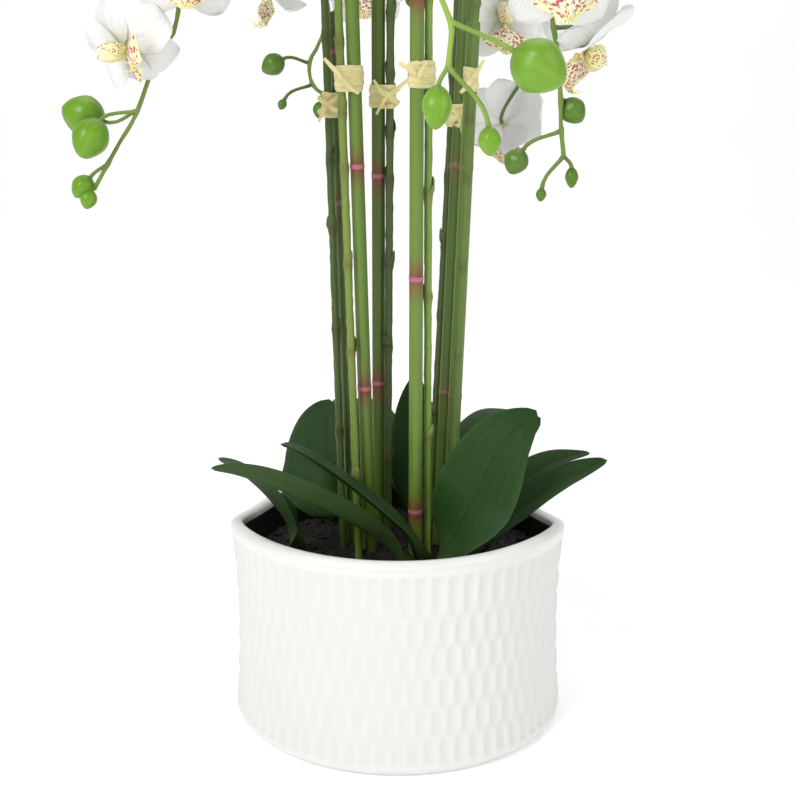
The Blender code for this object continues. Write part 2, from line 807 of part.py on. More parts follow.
# --- Ties -----------------------------------------------------------------------
def stadium(first, second, radius_a, radius_b):
    """The outline of a band stretched round two circles, as 2D points."""
    across = second - first
    turn = math.atan2(across.y, across.x)
    lean = math.acos((radius_a - radius_b) / across.length)
    points = []
    for centre, radius, a, b in (
        (second, radius_b, turn - lean, turn + lean),
        (first, radius_a, turn + lean, turn + math.tau - lean),
    ):
        for k in range(TIE_ARC_STEPS + 1):
            angle = a + (b - a) * k / TIE_ARC_STEPS
            points.append(centre + radius * Vector((math.cos(angle), math.sin(angle))))
    return points


def tie(name, cane_name, spray_name, height, home):
    """A raffia band round a cane and its spray."""
    lines = (CANES[cane_name][:2], (SPRAYS[spray_name]["foot"], SPRAYS[spray_name]["tie"]))
    centres = [on_line(*line, height) for line in lines]
    middle = (centres[0] + centres[1]) / 2
    axis = sum((on_line(*line, height + 0.1) for line in lines), Vector()) / 2 - middle
    turn = axis.to_track_quat("Z", "Y")
    flat = [(turn.inverted() @ (c - middle)).to_2d() for c in centres]
    facet = 1 / math.cos(math.pi / TIE_ARC_STEPS / 2)
    data = bpy.data.curves.new(name, "CURVE")
    data.dimensions = "2D"
    data.fill_mode = "BOTH"
    data.extrude = TIE_WIDTH / 2
    for grow in (TIE_SLACK, TIE_SLACK + TIE_THICKNESS):
        outline = stadium(*flat, (CANE_RADIUS + grow) * facet, (STEM_RADIUS + grow) * facet)
        spline = data.splines.new("POLY")
        spline.points.add(len(outline) - 1)
        for target, point in zip(spline.points, outline):
            target.co = (*point, 0, 1)
        spline.use_cyclic_u = True
    obj = add(name, data, home)
    obj.location = middle
    obj.rotation_euler = turn.to_euler()
    obj = baked(obj)
    obj.data.materials.append(material("raffia"))
    return obj


# --- Leaves ---------------------------------------------------------------------
def leaf_half_width(share, width):
    """Half a leaf's width along its blade: a narrow foot, a broad belly and a blunt tip."""
    belly = math.sin(math.pi * min(max(share, 0.0), 0.985) ** 0.85) ** 0.6
    return max(width / 2 * belly, LEAF_STALK_RADIUS * (1 - smooth_step(share * LEAF_OPENS)))


def leaf(name, spec, home, cutters):
    foot, midrib, width, roll, fold = spec
    ground = Vector((*foot, soil_height(*foot)))
    rise = (above_base(midrib[0]) - ground).normalized()
    neck = ground + rise * LEAF_NECK
    spaced, length = Path([neck, *map(above_base, midrib)]).even(LEAF_SECTIONS)
    sections = [(ground - rise * LEAF_DEPTH, rise, 0.0)]
    sections += [(p, t, k / (LEAF_SECTIONS - 1)) for k, (p, t) in enumerate(spaced)]
    bm = bmesh.new()
    rings = []
    for point, tangent, share in sections:
        opened = smooth_step(share * LEAF_OPENS)
        side = UP.cross(tangent).normalized()
        rolled = math.radians(roll) * smooth_step(share * LEAF_OPENS / 2)
        side = Matrix.Rotation(rolled, 3, tangent) @ side
        up = tangent.cross(side)
        half = leaf_half_width(share, width)
        blade, stem = LEAF_THICKNESS / 2, LEAF_STALK_RADIUS * LEAF_STALK_FLAT
        thick = blade + (stem - blade) * (1 - opened)
        lift = math.tan(math.radians(fold)) * opened
        ring = []
        for across, face in LEAF_SECTION:
            height = abs(across) * half * lift + face * thick
            ring.append(bm.verts.new(point + side * across * half + up * height))
        rings.append(ring)
    for a, b in zip(rings, rings[1:]):
        for i, j in zip(range(len(a)), [*range(1, len(a)), 0]):
            bm.faces.new((a[i], a[j], b[j], b[i]))
    bm.faces.new(rings[0][::-1])
    bm.faces.new(rings[-1])
    bmesh.ops.recalc_face_normals(bm, faces=bm.faces)
    obj = add(name, mesh_from(bm, name), home, "leaf")
    start = ground - rise * (LEAF_DEPTH + SOCKET_GAP)
    hole(name + "_hole", start, neck + rise * LEAF_NECK, LEAF_STALK_RADIUS + SOCKET_GAP, cutters)
    return obj


def main():
    clear_scene()
    home = collection("potted_orchid")
    cutters = collection("soil_cutters")
    head = flower_head()
    pot(home)
    soil(home, cutters)
    for name, (foot, tie_place, height) in CANES.items():
        cane(name, foot, tie_place, height, home, cutters)
    for name, spec in SPRAYS.items():
        spray(name, spec, home, cutters, head)
    for name, (cane_name, spray_name, height) in TIES.items():
        tie(name, cane_name, spray_name, height, home)
    for name, spec in LEAVES.items():
        leaf(name, spec, home, cutters)


main()
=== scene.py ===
"""Potted moth orchid: the finished look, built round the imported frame.

Metres, +Z up. The origin is the centre of the pot's flat foot. -Y is the front.
Six flower sprays, each tied with raffia to a cane, stand with strap leaves in a white carved pot.
"""

import math
import random

import bmesh
import bpy
from bpy.props import FloatProperty, FloatVectorProperty, IntProperty, PointerProperty
from mathutils import Matrix, Vector, noise


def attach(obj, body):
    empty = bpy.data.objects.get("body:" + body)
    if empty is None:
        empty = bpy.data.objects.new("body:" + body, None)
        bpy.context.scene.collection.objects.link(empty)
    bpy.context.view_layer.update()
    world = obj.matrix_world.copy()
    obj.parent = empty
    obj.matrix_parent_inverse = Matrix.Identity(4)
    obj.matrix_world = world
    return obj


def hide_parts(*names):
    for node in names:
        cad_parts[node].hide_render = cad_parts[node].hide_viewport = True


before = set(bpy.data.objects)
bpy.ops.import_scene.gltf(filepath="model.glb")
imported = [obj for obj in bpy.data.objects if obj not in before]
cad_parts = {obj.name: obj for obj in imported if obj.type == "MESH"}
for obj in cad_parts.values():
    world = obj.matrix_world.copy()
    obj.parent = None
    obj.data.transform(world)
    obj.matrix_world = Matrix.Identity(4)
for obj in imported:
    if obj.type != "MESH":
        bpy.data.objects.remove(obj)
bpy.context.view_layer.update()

bl_info = {
    "name": "Potted moth orchid",
    "version": (1, 0, 0),
    "blender": (4, 5, 0),
    "location": "View3D > Sidebar > Orchid",
    "description": "Builds a potted moth orchid piece by piece",
    "category": "Object",
}

BODY = "root"
UP = Vector((0, 0, 1))

# The sizes and places down to the leaves are those that the frame was made with.
# --- Pot ------------------------------------------------------------------------
POT_HEIGHT = 0.143
POT_END_RADIUS = 0.112  # outside, near the foot and at the rim
POT_WAIST_INSET = 0.0035
POT_WAIST_HEIGHT = 0.070
POT_WALL = 0.009
POT_FLOOR = 0.010
POT_FOOT_ROUNDING = 0.008
RIM_WAVE_DEPTH = 0.063  # the rim's dips fade out this far below the rim
RIM_DIPS = ((25, 35, 0.019), (157, 32, 0.016))  # azimuth, spread, depth

# --- Soil -----------------------------------------------------------------------
SOIL_BELOW_RIM = 0.039
SOIL_DOME = 0.007
STEM_DEPTH = 0.055  # how far canes and sprays go down into the soil
LEAF_DEPTH = 0.020

# --- Levels of the plant --------------------------------------------------------
BASE_BELOW_RIM = 0.025  # the level that the plant's heights are measured from
TIE_RISE = 0.312  # the level at which a cane's or stem's second place is given
ARCH_RISE = 0.482  # where the sprays stop being straight

# --- Canes: place at the base level, place at the tie level, height ---------------
CANE_RADIUS = 0.0045
CANE_TOP_RADIUS = 0.0042
CANES = {
    "cane_left_back": ((-0.031, 0.0135), (-0.0385, 0.022), 0.342),
    "cane_left": ((-0.019, -0.006), (-0.0265, -0.017), 0.468),
    "cane_middle": ((-0.013, 0.023), (-0.012, 0.0065), 0.462),
    "cane_front": ((0.0115, -0.026), (0.0115, -0.040), 0.470),
    "cane_right_back": ((0.028, 0.009), (0.041, 0.028), 0.465),
    "cane_right": ((0.034, 0.001), (0.0465, 0.012), 0.336),
}

# --- Flower sprays --------------------------------------------------------------
STEM_RADIUS = 0.0026
TIP_RADIUS = 0.0012
STALK_RADIUS = 0.0012
ARCH_LEAD = 0.090  # how gently the arch leaves the straight part
STALK_LEAVE = 0.3  # how straight a stalk leaves the stem, as a share of its reach
STALK_ARRIVE = 0.4  # how straight it meets its flower or bud
BUD_NARROWING = 0.25

# Each spray has its place at the base level and at the tie level, like its cane. Its arch runs
# on through points whose heights are measured from the arch level. A bloom is (place along the
# arch, counted in its points, centre, azimuth and rise of its face, roll, width). A bud is
# (place along the arch, centre, azimuth and rise of its axis, length, width).
SPRAYS = {
    "spray_left": {
        "foot": (-0.026, -0.0165),
        "tie": (-0.0345, -0.020),
        "arch": (
            (-0.048, -0.030, 0.110), (-0.070, -0.042, 0.190), (-0.098, -0.054, 0.195),
            (-0.116, -0.062, 0.120), (-0.120, -0.064, 0.020), (-0.119, -0.064, -0.080),
            (-0.126, -0.062, -0.145), (-0.137, -0.060, -0.161), (-0.152, -0.056, -0.196),
            (-0.164, -0.054, -0.215), (-0.176, -0.052, -0.234), (-0.181, -0.050, -0.242),
        ),
        "blooms": (
            (2.4, (-0.078, -0.080, 0.218), 275, 25, 0, 0.086),
            (3.4, (-0.148, -0.066, 0.160), 211, 12, 0, 0.087),
            (4.3, (-0.084, -0.096, 0.082), 285, 5, 0, 0.088),
            (5.2, (-0.158, -0.086, 0.000), 238, 0, 0, 0.088),
            (6.6, (-0.116, -0.090, -0.112), 278, -5, 0, 0.086),
            (7.6, (-0.153, -0.082, -0.160), 240, -20, 30, 0.076),
        ),
        "buds": (
            (9.0, (-0.186, -0.046, -0.199), 190, 20, 0.026, 0.025),
            (9.0, (-0.177, -0.072, -0.211), 240, -50, 0.026, 0.022),
            (10.6, (-0.188, -0.050, -0.241), 200, -50, 0.0155, 0.014),
            (12.0, (-0.184, -0.054, -0.248), 235, -65, 0.012, 0.0105),
        ),
    },
    "spray_left_back": {
        "foot": (-0.037, 0.0030),
        "tie": (-0.0445, 0.0125),
        "arch": (
            (-0.060, 0.036, 0.110), (-0.078, 0.066, 0.185), (-0.096, 0.092, 0.170),
            (-0.100, 0.106, 0.080), (-0.086, 0.106, -0.020), (-0.060, 0.100, -0.100),
            (-0.047, 0.095, -0.137), (-0.053, 0.090, -0.158), (-0.060, 0.086, -0.172),
            (-0.058, 0.082, -0.186), (-0.051, 0.080, -0.192),
        ),
        "blooms": (
            (2.2, (-0.108, 0.046, 0.205), 190, 20, 0, 0.086),
            (3.2, (-0.080, 0.130, 0.170), 95, 10, 0, 0.088),
            (4.4, (-0.136, 0.110, 0.060), 180, 0, 0, 0.088),
            (6.6, (-0.088, 0.096, -0.120), 165, -25, 0, 0.078),
        ),
        "buds": (
            (9.0, (-0.084, 0.078, -0.173), 190, -30, 0.017, 0.0155),
            (10.0, (-0.078, 0.074, -0.199), 200, -65, 0.0075, 0.0065),
            (11.0, (-0.053, 0.080, -0.203), 250, -75, 0.012, 0.010),
        ),
    },
    "spray_front": {
        "foot": (0.0195, -0.0195),
        "tie": (0.0185, -0.0345),
        "arch": (
            (0.015, -0.080, 0.105), (0.012, -0.130, 0.165), (0.012, -0.185, 0.150),
            (0.010, -0.228, 0.080), (0.008, -0.246, -0.010), (0.010, -0.250, -0.075),
            (0.015, -0.250, -0.121), (0.020, -0.250, -0.138), (0.024, -0.250, -0.147),
            (0.024, -0.250, -0.155), (0.023, -0.250, -0.166),
        ),
        "blooms": (
            (1.9, (0.044, -0.122, 0.198), 325, 30, 0, 0.086),
            (2.7, (-0.028, -0.178, 0.180), 235, 20, 0, 0.088),
            (3.5, (0.044, -0.222, 0.120), 300, 10, 0, 0.088),
            (4.3, (-0.030, -0.248, 0.062), 250, 5, 0, 0.088),
            (5.3, (0.040, -0.268, -0.012), 290, 0, 0, 0.086),
        ),
        "buds": (
            (9.0, (0.063, -0.255, -0.166), 340, -30, 0.027, 0.0255),
            (11.0, (0.018, -0.250, -0.184), 260, -70, 0.0205, 0.014),
            (11.0, (0.042, -0.250, -0.199), 290, -78, 0.0135, 0.011),
        ),
    },
    "spray_right": {
        "foot": (0.034, -0.0085),
        "tie": (0.0465, 0.0025),
        "arch": (
            (0.060, -0.024, 0.110), (0.078, -0.064, 0.175), (0.098, -0.100, 0.150),
            (0.106, -0.122, 0.070), (0.098, -0.126, -0.020), (0.086, -0.122, -0.100),
            (0.082, -0.120, -0.138), (0.085, -0.120, -0.158), (0.088, -0.118, -0.182),
            (0.089, -0.116, -0.199), (0.091, -0.116, -0.217),
        ),
        "blooms": (
            (2.1, (0.118, -0.062, 0.200), 335, 25, 0, 0.086),
            (3.2, (0.092, -0.146, 0.136), 275, 12, 0, 0.088),
            (4.2, (0.144, -0.140, 0.070), 315, 5, 0, 0.088),
            (6.2, (0.083, -0.152, -0.118), 282, -5, 0, 0.088),
            (7.6, (0.104, -0.104, -0.158), 30, -65, 0, 0.074),
        ),
        "buds": (
            (9.2, (0.096, -0.112, -0.193), 350, -50, 0.0155, 0.015),
            (10.3, (0.065, -0.118, -0.220), 215, -55, 0.015, 0.014),
            (11.0, (0.096, -0.114, -0.229), 270, -80, 0.0115, 0.0075),
            (11.0, (0.079, -0.118, -0.238), 245, -75, 0.0075, 0.006),
        ),
    },
    "spray_right_back": {
        "foot": (0.0215, 0.0165),
        "tie": (0.0365, 0.0352),
        "arch": (
            (0.064, 0.062, 0.115), (0.090, 0.090, 0.190), (0.118, 0.108, 0.180),
            (0.130, 0.116, 0.100), (0.122, 0.114, 0.000), (0.106, 0.108, -0.090),
            (0.096, 0.104, -0.150), (0.092, 0.102, -0.175),
        ),
        "blooms": (
            (2.6, (0.112, 0.136, 0.210), 55, 20, 0, 0.088),
            (4.2, (0.170, 0.108, 0.090), 350, 5, 0, 0.088),
            (6.6, (0.070, 0.078, -0.140), 285, -5, 0, 0.080),
            (8.0, (0.073, 0.096, -0.214), 70, -25, 0, 0.074),
        ),
        "buds": (
            (7.0, (0.104, 0.094, -0.165), 320, -30, 0.014, 0.012),
            (8.0, (0.098, 0.096, -0.183), 300, -60, 0.010, 0.008),
        ),
    },
    "spray_back": {
        "foot": (-0.0070, 0.0150),
        "tie": (-0.0045, 0.0030),
        "arch": (
            (0.000, 0.030, 0.110), (0.006, 0.080, 0.190), (0.008, 0.130, 0.185),
            (0.006, 0.158, 0.110), (0.002, 0.160, 0.010), (-0.002, 0.150, -0.070),
            (0.000, 0.142, -0.110),
        ),
        "blooms": (
            (2.6, (0.036, 0.130, 0.215), 60, 25, 0, 0.086),
            (3.8, (-0.034, 0.170, 0.120), 120, 5, 0, 0.088),
            (5.0, (0.034, 0.186, 0.015), 65, 0, 0, 0.088),
            (6.4, (-0.022, 0.122, -0.118), 265, -5, 0, 0.078),
        ),
        "buds": (
            (6.6, (0.026, 0.146, -0.094), 10, -20, 0.016, 0.014),
            (7.0, (0.010, 0.142, -0.130), 300, -60, 0.012, 0.010),
        ),
    },
}

# --- Raffia ties: the cane and the spray that each holds, and its height ----------
TIE_WIDTH = 0.014
TIES = {
    "tie_left_back": ("cane_left_back", "spray_left_back", 0.286),
    "tie_left": ("cane_left", "spray_left", 0.303),
    "tie_middle": ("cane_middle", "spray_back", 0.292),
    "tie_front": ("cane_front", "spray_front", 0.306),
    "tie_right": ("cane_right", "spray_right", 0.302),
    "tie_right_back": ("cane_right_back", "spray_right_back", 0.279),
}

# --- Leaves: foot, points of the midrib above the base level, width, roll, fold ----
LEAF_THICKNESS = 0.0018
LEAF_STALK_RADIUS = 0.0040
LEAF_NECK = 0.008  # the length of bare stalk above the soil
LEAF_OPENS = 4  # the stalk has turned into blade at one part in this many of the length
LEAF_STALK_FLAT = 0.7  # a stalk's thickness, as a share of its width
LEAVES = {
    "leaf_left_front": (
        (0.018, -0.052),
        (
            (-0.008, -0.060, 0.019), (-0.044, -0.062, 0.042), (-0.092, -0.060, 0.062),
            (-0.117, -0.056, 0.067),
        ),
        0.046, 25, 30,
    ),
    "leaf_left_edge": (
        (0.022, -0.040),
        (
            (0.007, -0.046, 0.018), (-0.025, -0.047, 0.048), (-0.061, -0.048, 0.075),
            (-0.074, -0.047, 0.080),
        ),
        0.040, 5, 15,
    ),
    "leaf_left_under": (
        (-0.062, -0.016),
        (
            (-0.070, -0.015, 0.010), (-0.080, -0.015, 0.028), (-0.098, -0.014, 0.047),
            (-0.118, -0.012, 0.060),
        ),
        0.050, 20, 22,
    ),
    "leaf_left_broad": (
        (-0.038, 0.046),
        ((-0.043, 0.0495, 0.011), (-0.049, 0.0535, 0.047), (-0.048, 0.0565, 0.082)),
        0.079, -80, 8,
    ),
    "leaf_back": (
        (0.014, 0.040),
        ((0.012, 0.046, 0.030), (0.011, 0.048, 0.066), (0.012, 0.050, 0.101)),
        0.036, 6, 14,
    ),
    "leaf_back_low": (
        (0.018, 0.057),
        ((0.013, 0.068, 0.022), (0.010, 0.079, 0.050), (0.004, 0.092, 0.070)),
        0.040, -30, 15,
    ),
    "leaf_right_broad": (
        (0.024, -0.060),
        (
            (0.034, -0.060, 0.018), (0.048, -0.060, 0.047), (0.064, -0.059, 0.082),
            (0.086, -0.054, 0.104),
        ),
        0.054, 60, 16,
    ),
    "leaf_right_twin": (
        (0.046, 0.012),
        (
            (0.051, 0.014, 0.018), (0.059, 0.014, 0.044), (0.073, 0.014, 0.066),
            (0.096, 0.014, 0.080),
        ),
        0.042, 60, 14,
    ),
    "leaf_right_upper": (
        (0.052, -0.020),
        (
            (0.060, -0.018, 0.018), (0.078, -0.014, 0.041), (0.101, -0.008, 0.055),
            (0.128, 0.000, 0.060),
        ),
        0.026, 15, 25,
    ),
    "leaf_right_low": (
        (0.046, -0.046),
        (
            (0.053, -0.046, 0.009), (0.073, -0.044, 0.031), (0.105, -0.040, 0.053),
            (0.134, -0.036, 0.066),
        ),
        0.031, 20, 25,
    ),
    "leaf_back_left": (
        (-0.014, 0.075),
        ((-0.020, 0.090, 0.030), (-0.030, 0.116, 0.056), (-0.040, 0.144, 0.058)),
        0.052, 0, 22,
    ),
    "leaf_back_right": (
        (0.046, 0.054),
        ((0.056, 0.068, 0.030), (0.072, 0.092, 0.052), (0.088, 0.124, 0.054)),
        0.052, 0, 22,
    ),
}

# --- Marks on the canes and stems -------------------------------------------------
# The heights above the floor of each cane's painted rings, and how strong its paint is.
CANE_RINGS = {
    "cane_left_back": ((0.342, 0.437), 0.45),
    "cane_left": ((0.225, 0.368), 1.0),
    "cane_middle": ((0.222, 0.360), 0.9),
    "cane_front": ((0.147, 0.301, 0.470), 1.0),
    "cane_right_back": ((0.216, 0.365), 0.3),
    "cane_right": ((0.216, 0.365), 0.3),
}
# The heights above the base level of the joints on each stem's straight part.
STEM_JOINTS = {
    "spray_left": (0.048, 0.133, 0.190, 0.248, 0.284, 0.324, 0.380, 0.440),
    "spray_left_back": (0.073, 0.141, 0.208, 0.251, 0.327, 0.385, 0.445),
    "spray_front": (0.077, 0.170, 0.235, 0.290, 0.350, 0.420),
    "spray_right": (0.053, 0.127, 0.185, 0.242, 0.278, 0.345, 0.415),
    "spray_right_back": (0.080, 0.149, 0.196, 0.239, 0.300, 0.370, 0.440),
    "spray_back": (0.051, 0.130, 0.185, 0.239, 0.269, 0.305, 0.341, 0.410),
}

# --- Directions, levels and curves ----------------------------------------------
def direction(azimuth, rise):
    """The unit vector at this azimuth round +Z and this rise above the horizon, in degrees."""
    a, e = math.radians(azimuth), math.radians(rise)
    return Vector((math.cos(a) * math.cos(e), math.sin(a) * math.cos(e), math.sin(e)))


def base_level():
    return POT_HEIGHT - BASE_BELOW_RIM


def above_base(point):
    return Vector(point) + UP * base_level()


def above_arch_level(point):
    return Vector(point) + UP * (base_level() + ARCH_RISE)


def smooth_step(x):
    x = min(max(x, 0.0), 1.0)
    return x * x * (3 - 2 * x)


class Path:
    """A smooth Catmull-Rom curve. Place 2.5 is halfway between its points 2 and 3.

    It sets off as if it came from the point before, where one is given.
    """

    def __init__(self, points, before=None):
        self.points = [Vector(p) for p in points]
        self.before = before or 2 * self.points[0] - self.points[1]

    def at(self, place):
        points = self.points
        i = min(int(place), len(points) - 2)
        t = place - i
        p1, p2 = points[i], points[i + 1]
        p0 = points[i - 1] if i > 0 else self.before
        p3 = points[i + 2] if i + 2 < len(points) else 2 * p2 - p1
        bend = 3 * (p1 - p2) + p3 - p0
        return p1 + 0.5 * ((p2 - p0) * t + (2 * p0 - 5 * p1 + 4 * p2 - p3) * t * t + bend * t**3)

    def spaced(self, step):
        """Points along the curve about this far apart, each of its own points among them."""
        found = [self.points[0]]
        for i, (a, b) in enumerate(zip(self.points, self.points[1:])):
            count = max(1, round((b - a).length / step))
            found += [self.at(i + (k + 1) / count) for k in range(count)]
        return found

    def even(self, count):
        """This many points at equal distances along the curve, and the direction at each."""
        fine = self.spaced(0.002)
        lengths = [0.0]
        for a, b in zip(fine, fine[1:]):
            lengths.append(lengths[-1] + (b - a).length)
        found, i = [], 0
        for k in range(count):
            wanted = lengths[-1] * k / (count - 1)
            while i < len(fine) - 2 and lengths[i + 1] < wanted:
                i += 1
            t = (wanted - lengths[i]) / (lengths[i + 1] - lengths[i])
            found.append((fine[i].lerp(fine[i + 1], t), (fine[i + 1] - fine[i]).normalized()))
        return found


def on_line(foot, tie, rise):
    """The point this far above the base level on the straight line of a cane or stem."""
    low, high = above_base((*foot, 0)), above_base((*tie, TIE_RISE))
    return low.lerp(high, rise / TIE_RISE)


# --- Pot and soil ---------------------------------------------------------------
def pot_radius(z):
    """The pot's outside radius at a height: a slight waist between foot and rim."""
    reach = POT_HEIGHT - POT_WAIST_HEIGHT if z > POT_WAIST_HEIGHT else POT_WAIST_HEIGHT
    return POT_END_RADIUS - POT_WAIST_INSET * (1 - ((z - POT_WAIST_HEIGHT) / reach) ** 2)


def rim_drop(azimuth):
    """How far the rim dips below its full height at this azimuth, in degrees."""
    drop = 0.0
    for centre, spread, depth in RIM_DIPS:
        turn = (azimuth - centre + 180) % 360 - 180
        drop += depth * math.exp(-((turn / spread) ** 2))
    return drop


def soil_height(x, y):
    """The height of the soil's top: a low dome."""
    share = math.hypot(x, y) / (POT_END_RADIUS - POT_WALL)
    return POT_HEIGHT - SOIL_BELOW_RIM + SOIL_DOME * (1 - min(share, 1.0) ** 2)


def head_turn(azimuth, rise, roll):
    """The rotation that faces a flower head this way. Its own +Z is the face and +Y is up."""
    face = direction(azimuth, rise)
    side = UP.cross(face).normalized()
    turn = Matrix((side, face.cross(side), face)).transposed()
    return (turn @ Matrix.Rotation(math.radians(roll), 3, "Z")).to_4x4()


# --- Making meshes ------------------------------------------------------------------
class Shape:
    """The points, faces and per-point values gathered for one piece."""

    def __init__(self):
        self.points, self.faces, self.parts, self.values = [], [], [], {}

    def add(self, points, faces, part=0, **values):
        """Adds points and the faces between them. A value is one number or one for each point."""
        start = len(self.points)
        self.points += [Vector(p) for p in points]
        self.faces += [[start + i for i in face] for face in faces]
        self.parts += [part] * len(faces)
        for name, given in values.items():
            column = self.values.setdefault(name, [])
            column += [0.0] * (start - len(column))
            column += given if isinstance(given, list) else [given] * len(points)

    def place(self, turn):
        self.points = [turn @ p for p in self.points]

    def mesh(self, name, sharp=60):
        made = bpy.data.meshes.new(name)
        made.from_pydata(self.points, [], self.faces)
        made.polygons.foreach_set("material_index", self.parts)
        for value_name, column in self.values.items():
            column += [0.0] * (len(self.points) - len(column))
            made.attributes.new(value_name, "FLOAT", "POINT").data.foreach_set("value", column)
        made.shade_smooth()
        made.set_sharp_from_angle(angle=math.radians(sharp))
        return made


def link(name, mesh, finishes):
    obj = bpy.data.objects.new(name, mesh)
    bpy.context.scene.collection.objects.link(obj)
    for finish in finishes:
        obj.data.materials.append(finish)
    return obj


def belongs(obj, slot, *nodes):
    """Says what the piece moves with and which frame nodes it stands for. The slot is not used."""
    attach(obj, BODY)
    if nodes:
        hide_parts(*nodes)
    return obj


def plain_mesh(obj):
    """Turns the result of the modifiers into the object's own mesh."""
    graph = bpy.context.evaluated_depsgraph_get()
    mesh = bpy.data.meshes.new_from_object(obj.evaluated_get(graph))
    obj.modifiers.clear()
    obj.data = mesh
    mesh.shade_smooth()
    return obj


def ring_frames(points):
    """The direction, side and up of a line at each of its points, without twist."""
    frames, side = [], None
    for i in range(len(points)):
        ahead = points[min(i + 1, len(points) - 1)] - points[max(i - 1, 0)]
        along = ahead.normalized()
        if side is None:
            side = along.orthogonal().normalized()
        side = (side - along * side.dot(along)).normalized()
        frames.append((along, side, along.cross(side)))
    return frames


def tube_faces(rings, sides, downward=False):
    """The faces of a closed tube: rings of corners, then the point at each of its two ends."""
    pairs = [(k, (k + 1) % sides) for k in range(sides)]
    if downward:
        pairs = [(n, k) for k, n in pairs]
    faces = []
    for i in range(rings - 1):
        a, b = i * sides, (i + 1) * sides
        faces += [(a + k, a + n, b + n, b + k) for k, n in pairs]
    first, last, top = rings * sides, rings * sides + 1, (rings - 1) * sides
    for k, n in pairs:
        faces.append((n, k, first))
        faces.append((top + k, top + n, last))
    return faces


def sweep(shape, points, radii, sides, part=0, lump=0.0, rounded=True, **values):
    """A round tube along the points. A value may have one number for each of the points."""
    rings = []
    frames = ring_frames(points)
    for point, radius, (_, side, up) in zip(points, radii, frames):
        ring = []
        for k in range(sides):
            angle = math.tau * k / sides
            out = side * math.cos(angle) + up * math.sin(angle)
            swell = lump * noise.noise((point + out * radius) * 260)
            ring.append(point + out * (radius + swell))
        rings.append(ring)
    ends = []
    for end, sign in ((0, -1), (-1, 1)):
        bulge = radii[end] * (0.6 if rounded else 0.0)
        ends.append(points[end] + frames[end][0] * bulge * sign)
    flat = [p for ring in rings for p in ring] + ends
    given = {}
    for name, value in values.items():
        if isinstance(value, list):
            column = [v for v in value for _ in range(sides)]
            given[name] = column + [value[0], value[-1]]
        else:
            given[name] = value
    shape.add(flat, tube_faces(len(rings), sides), part, **given)


def two_sided(shape, rows, thickness, part=0, tip=None, columns=None, swollen=None):
    """A thin closed sheet. rows holds (point, normal) grids; its edges come to nothing.

    thickness is one number for each place across. tip is a single end point.
    columns holds lists of values by name, one number for each point of the grid.
    swollen is how far each row stands out along its middle, and then the foot is blunt.
    """
    wide, tall = len(rows[0]), len(rows)
    points, index, picks = [], {}, []
    for face in (1, -1):
        for i, row in enumerate(rows):
            for k, (point, normal) in enumerate(row):
                edge = k in (0, wide - 1) or (i == 0 and swollen is None)
                if edge and face < 0:
                    index[face, i, k] = index[1, i, k]
                    continue
                grow = 0.0 if edge else thickness[k] / 2
                if swollen and not edge:
                    place = 2 * k / (wide - 1) - 1
                    grow += swollen[i] * math.sqrt(1 - place * place)
                index[face, i, k] = len(points)
                points.append(point + normal * grow * face)
                picks.append((i, k, face))
    faces = []
    for face in (1, -1):
        for i in range(tall - 1):
            for k in range(wide - 1):
                corners = ((i, k), (i, k + 1), (i + 1, k + 1), (i + 1, k))
                quad = [index[face, *corner] for corner in corners]
                faces.append(quad if face > 0 else quad[::-1])
    if swollen:
        for k in range(wide - 1):
            low = [index[1, 0, k], index[-1, 0, k], index[-1, 0, k + 1], index[1, 0, k + 1]]
            faces.append(list(dict.fromkeys(low)))
    if tip is not None:
        apex = len(points)
        points.append(tip)
        picks.append((tall - 1, wide // 2, 1))
        for face in (1, -1):
            for k in range(wide - 1):
                corner = [index[face, tall - 1, k], index[face, tall - 1, k + 1], apex]
                faces.append(corner if face > 0 else corner[::-1])
    values = {"under": [0.0 if face > 0 else 1.0 for _, _, face in picks]}
    for name, grid in columns.items():
        values[name] = [grid[i][k] for i, k, _ in picks]
    shape.add(points, faces, part, **values)


# --- Making node trees ----------------------------------------------------------------
def add_node(tree, kind, inputs=None, **settings):
    """A node with its settings, and its inputs set or joined to other nodes' sockets."""
    made = tree.nodes.new(kind)
    for key, value in settings.items():
        setattr(made, key, value)
    for key, value in (inputs or {}).items():
        if isinstance(value, bpy.types.NodeSocket):
            tree.links.new(value, made.inputs[key])
        else:
            made.inputs[key].default_value = value
    return made


def maths(tree, operation, *values):
    return add_node(tree, "ShaderNodeMath", dict(enumerate(values)), operation=operation).outputs[0]


def stepped(tree, value, low, high, start=0.0, end=1.0):
    """The value eased from start to end as it runs from low to high."""
    inputs = {"Value": value, "From Min": low, "From Max": high, "To Min": start, "To Max": end}
    return add_node(tree, "ShaderNodeMapRange", inputs, interpolation_type="SMOOTHSTEP").outputs[0]


def stored(tree, name, kind="FLOAT"):
    """The value of this name that the points carry."""
    inputs = {"Name": name}
    node = add_node(tree, "GeometryNodeInputNamedAttribute", inputs, data_type=kind)
    return node.outputs["Attribute"]


def hand_on(tree, geometry, finish, result):
    """Ends a tree: its copies made real, dressed in the finish and handed on."""
    real = add_node(tree, "GeometryNodeRealizeInstances", {"Geometry": geometry})
    inputs = {"Geometry": real.outputs[0], "Material": finish}
    dressed = add_node(tree, "GeometryNodeSetMaterial", inputs)
    tree.links.new(dressed.outputs[0], result.inputs[0])
    return tree


def shade(colour, share):
    """The colour made darker, or brighter where the share is over 1."""
    return [c * share for c in colour]


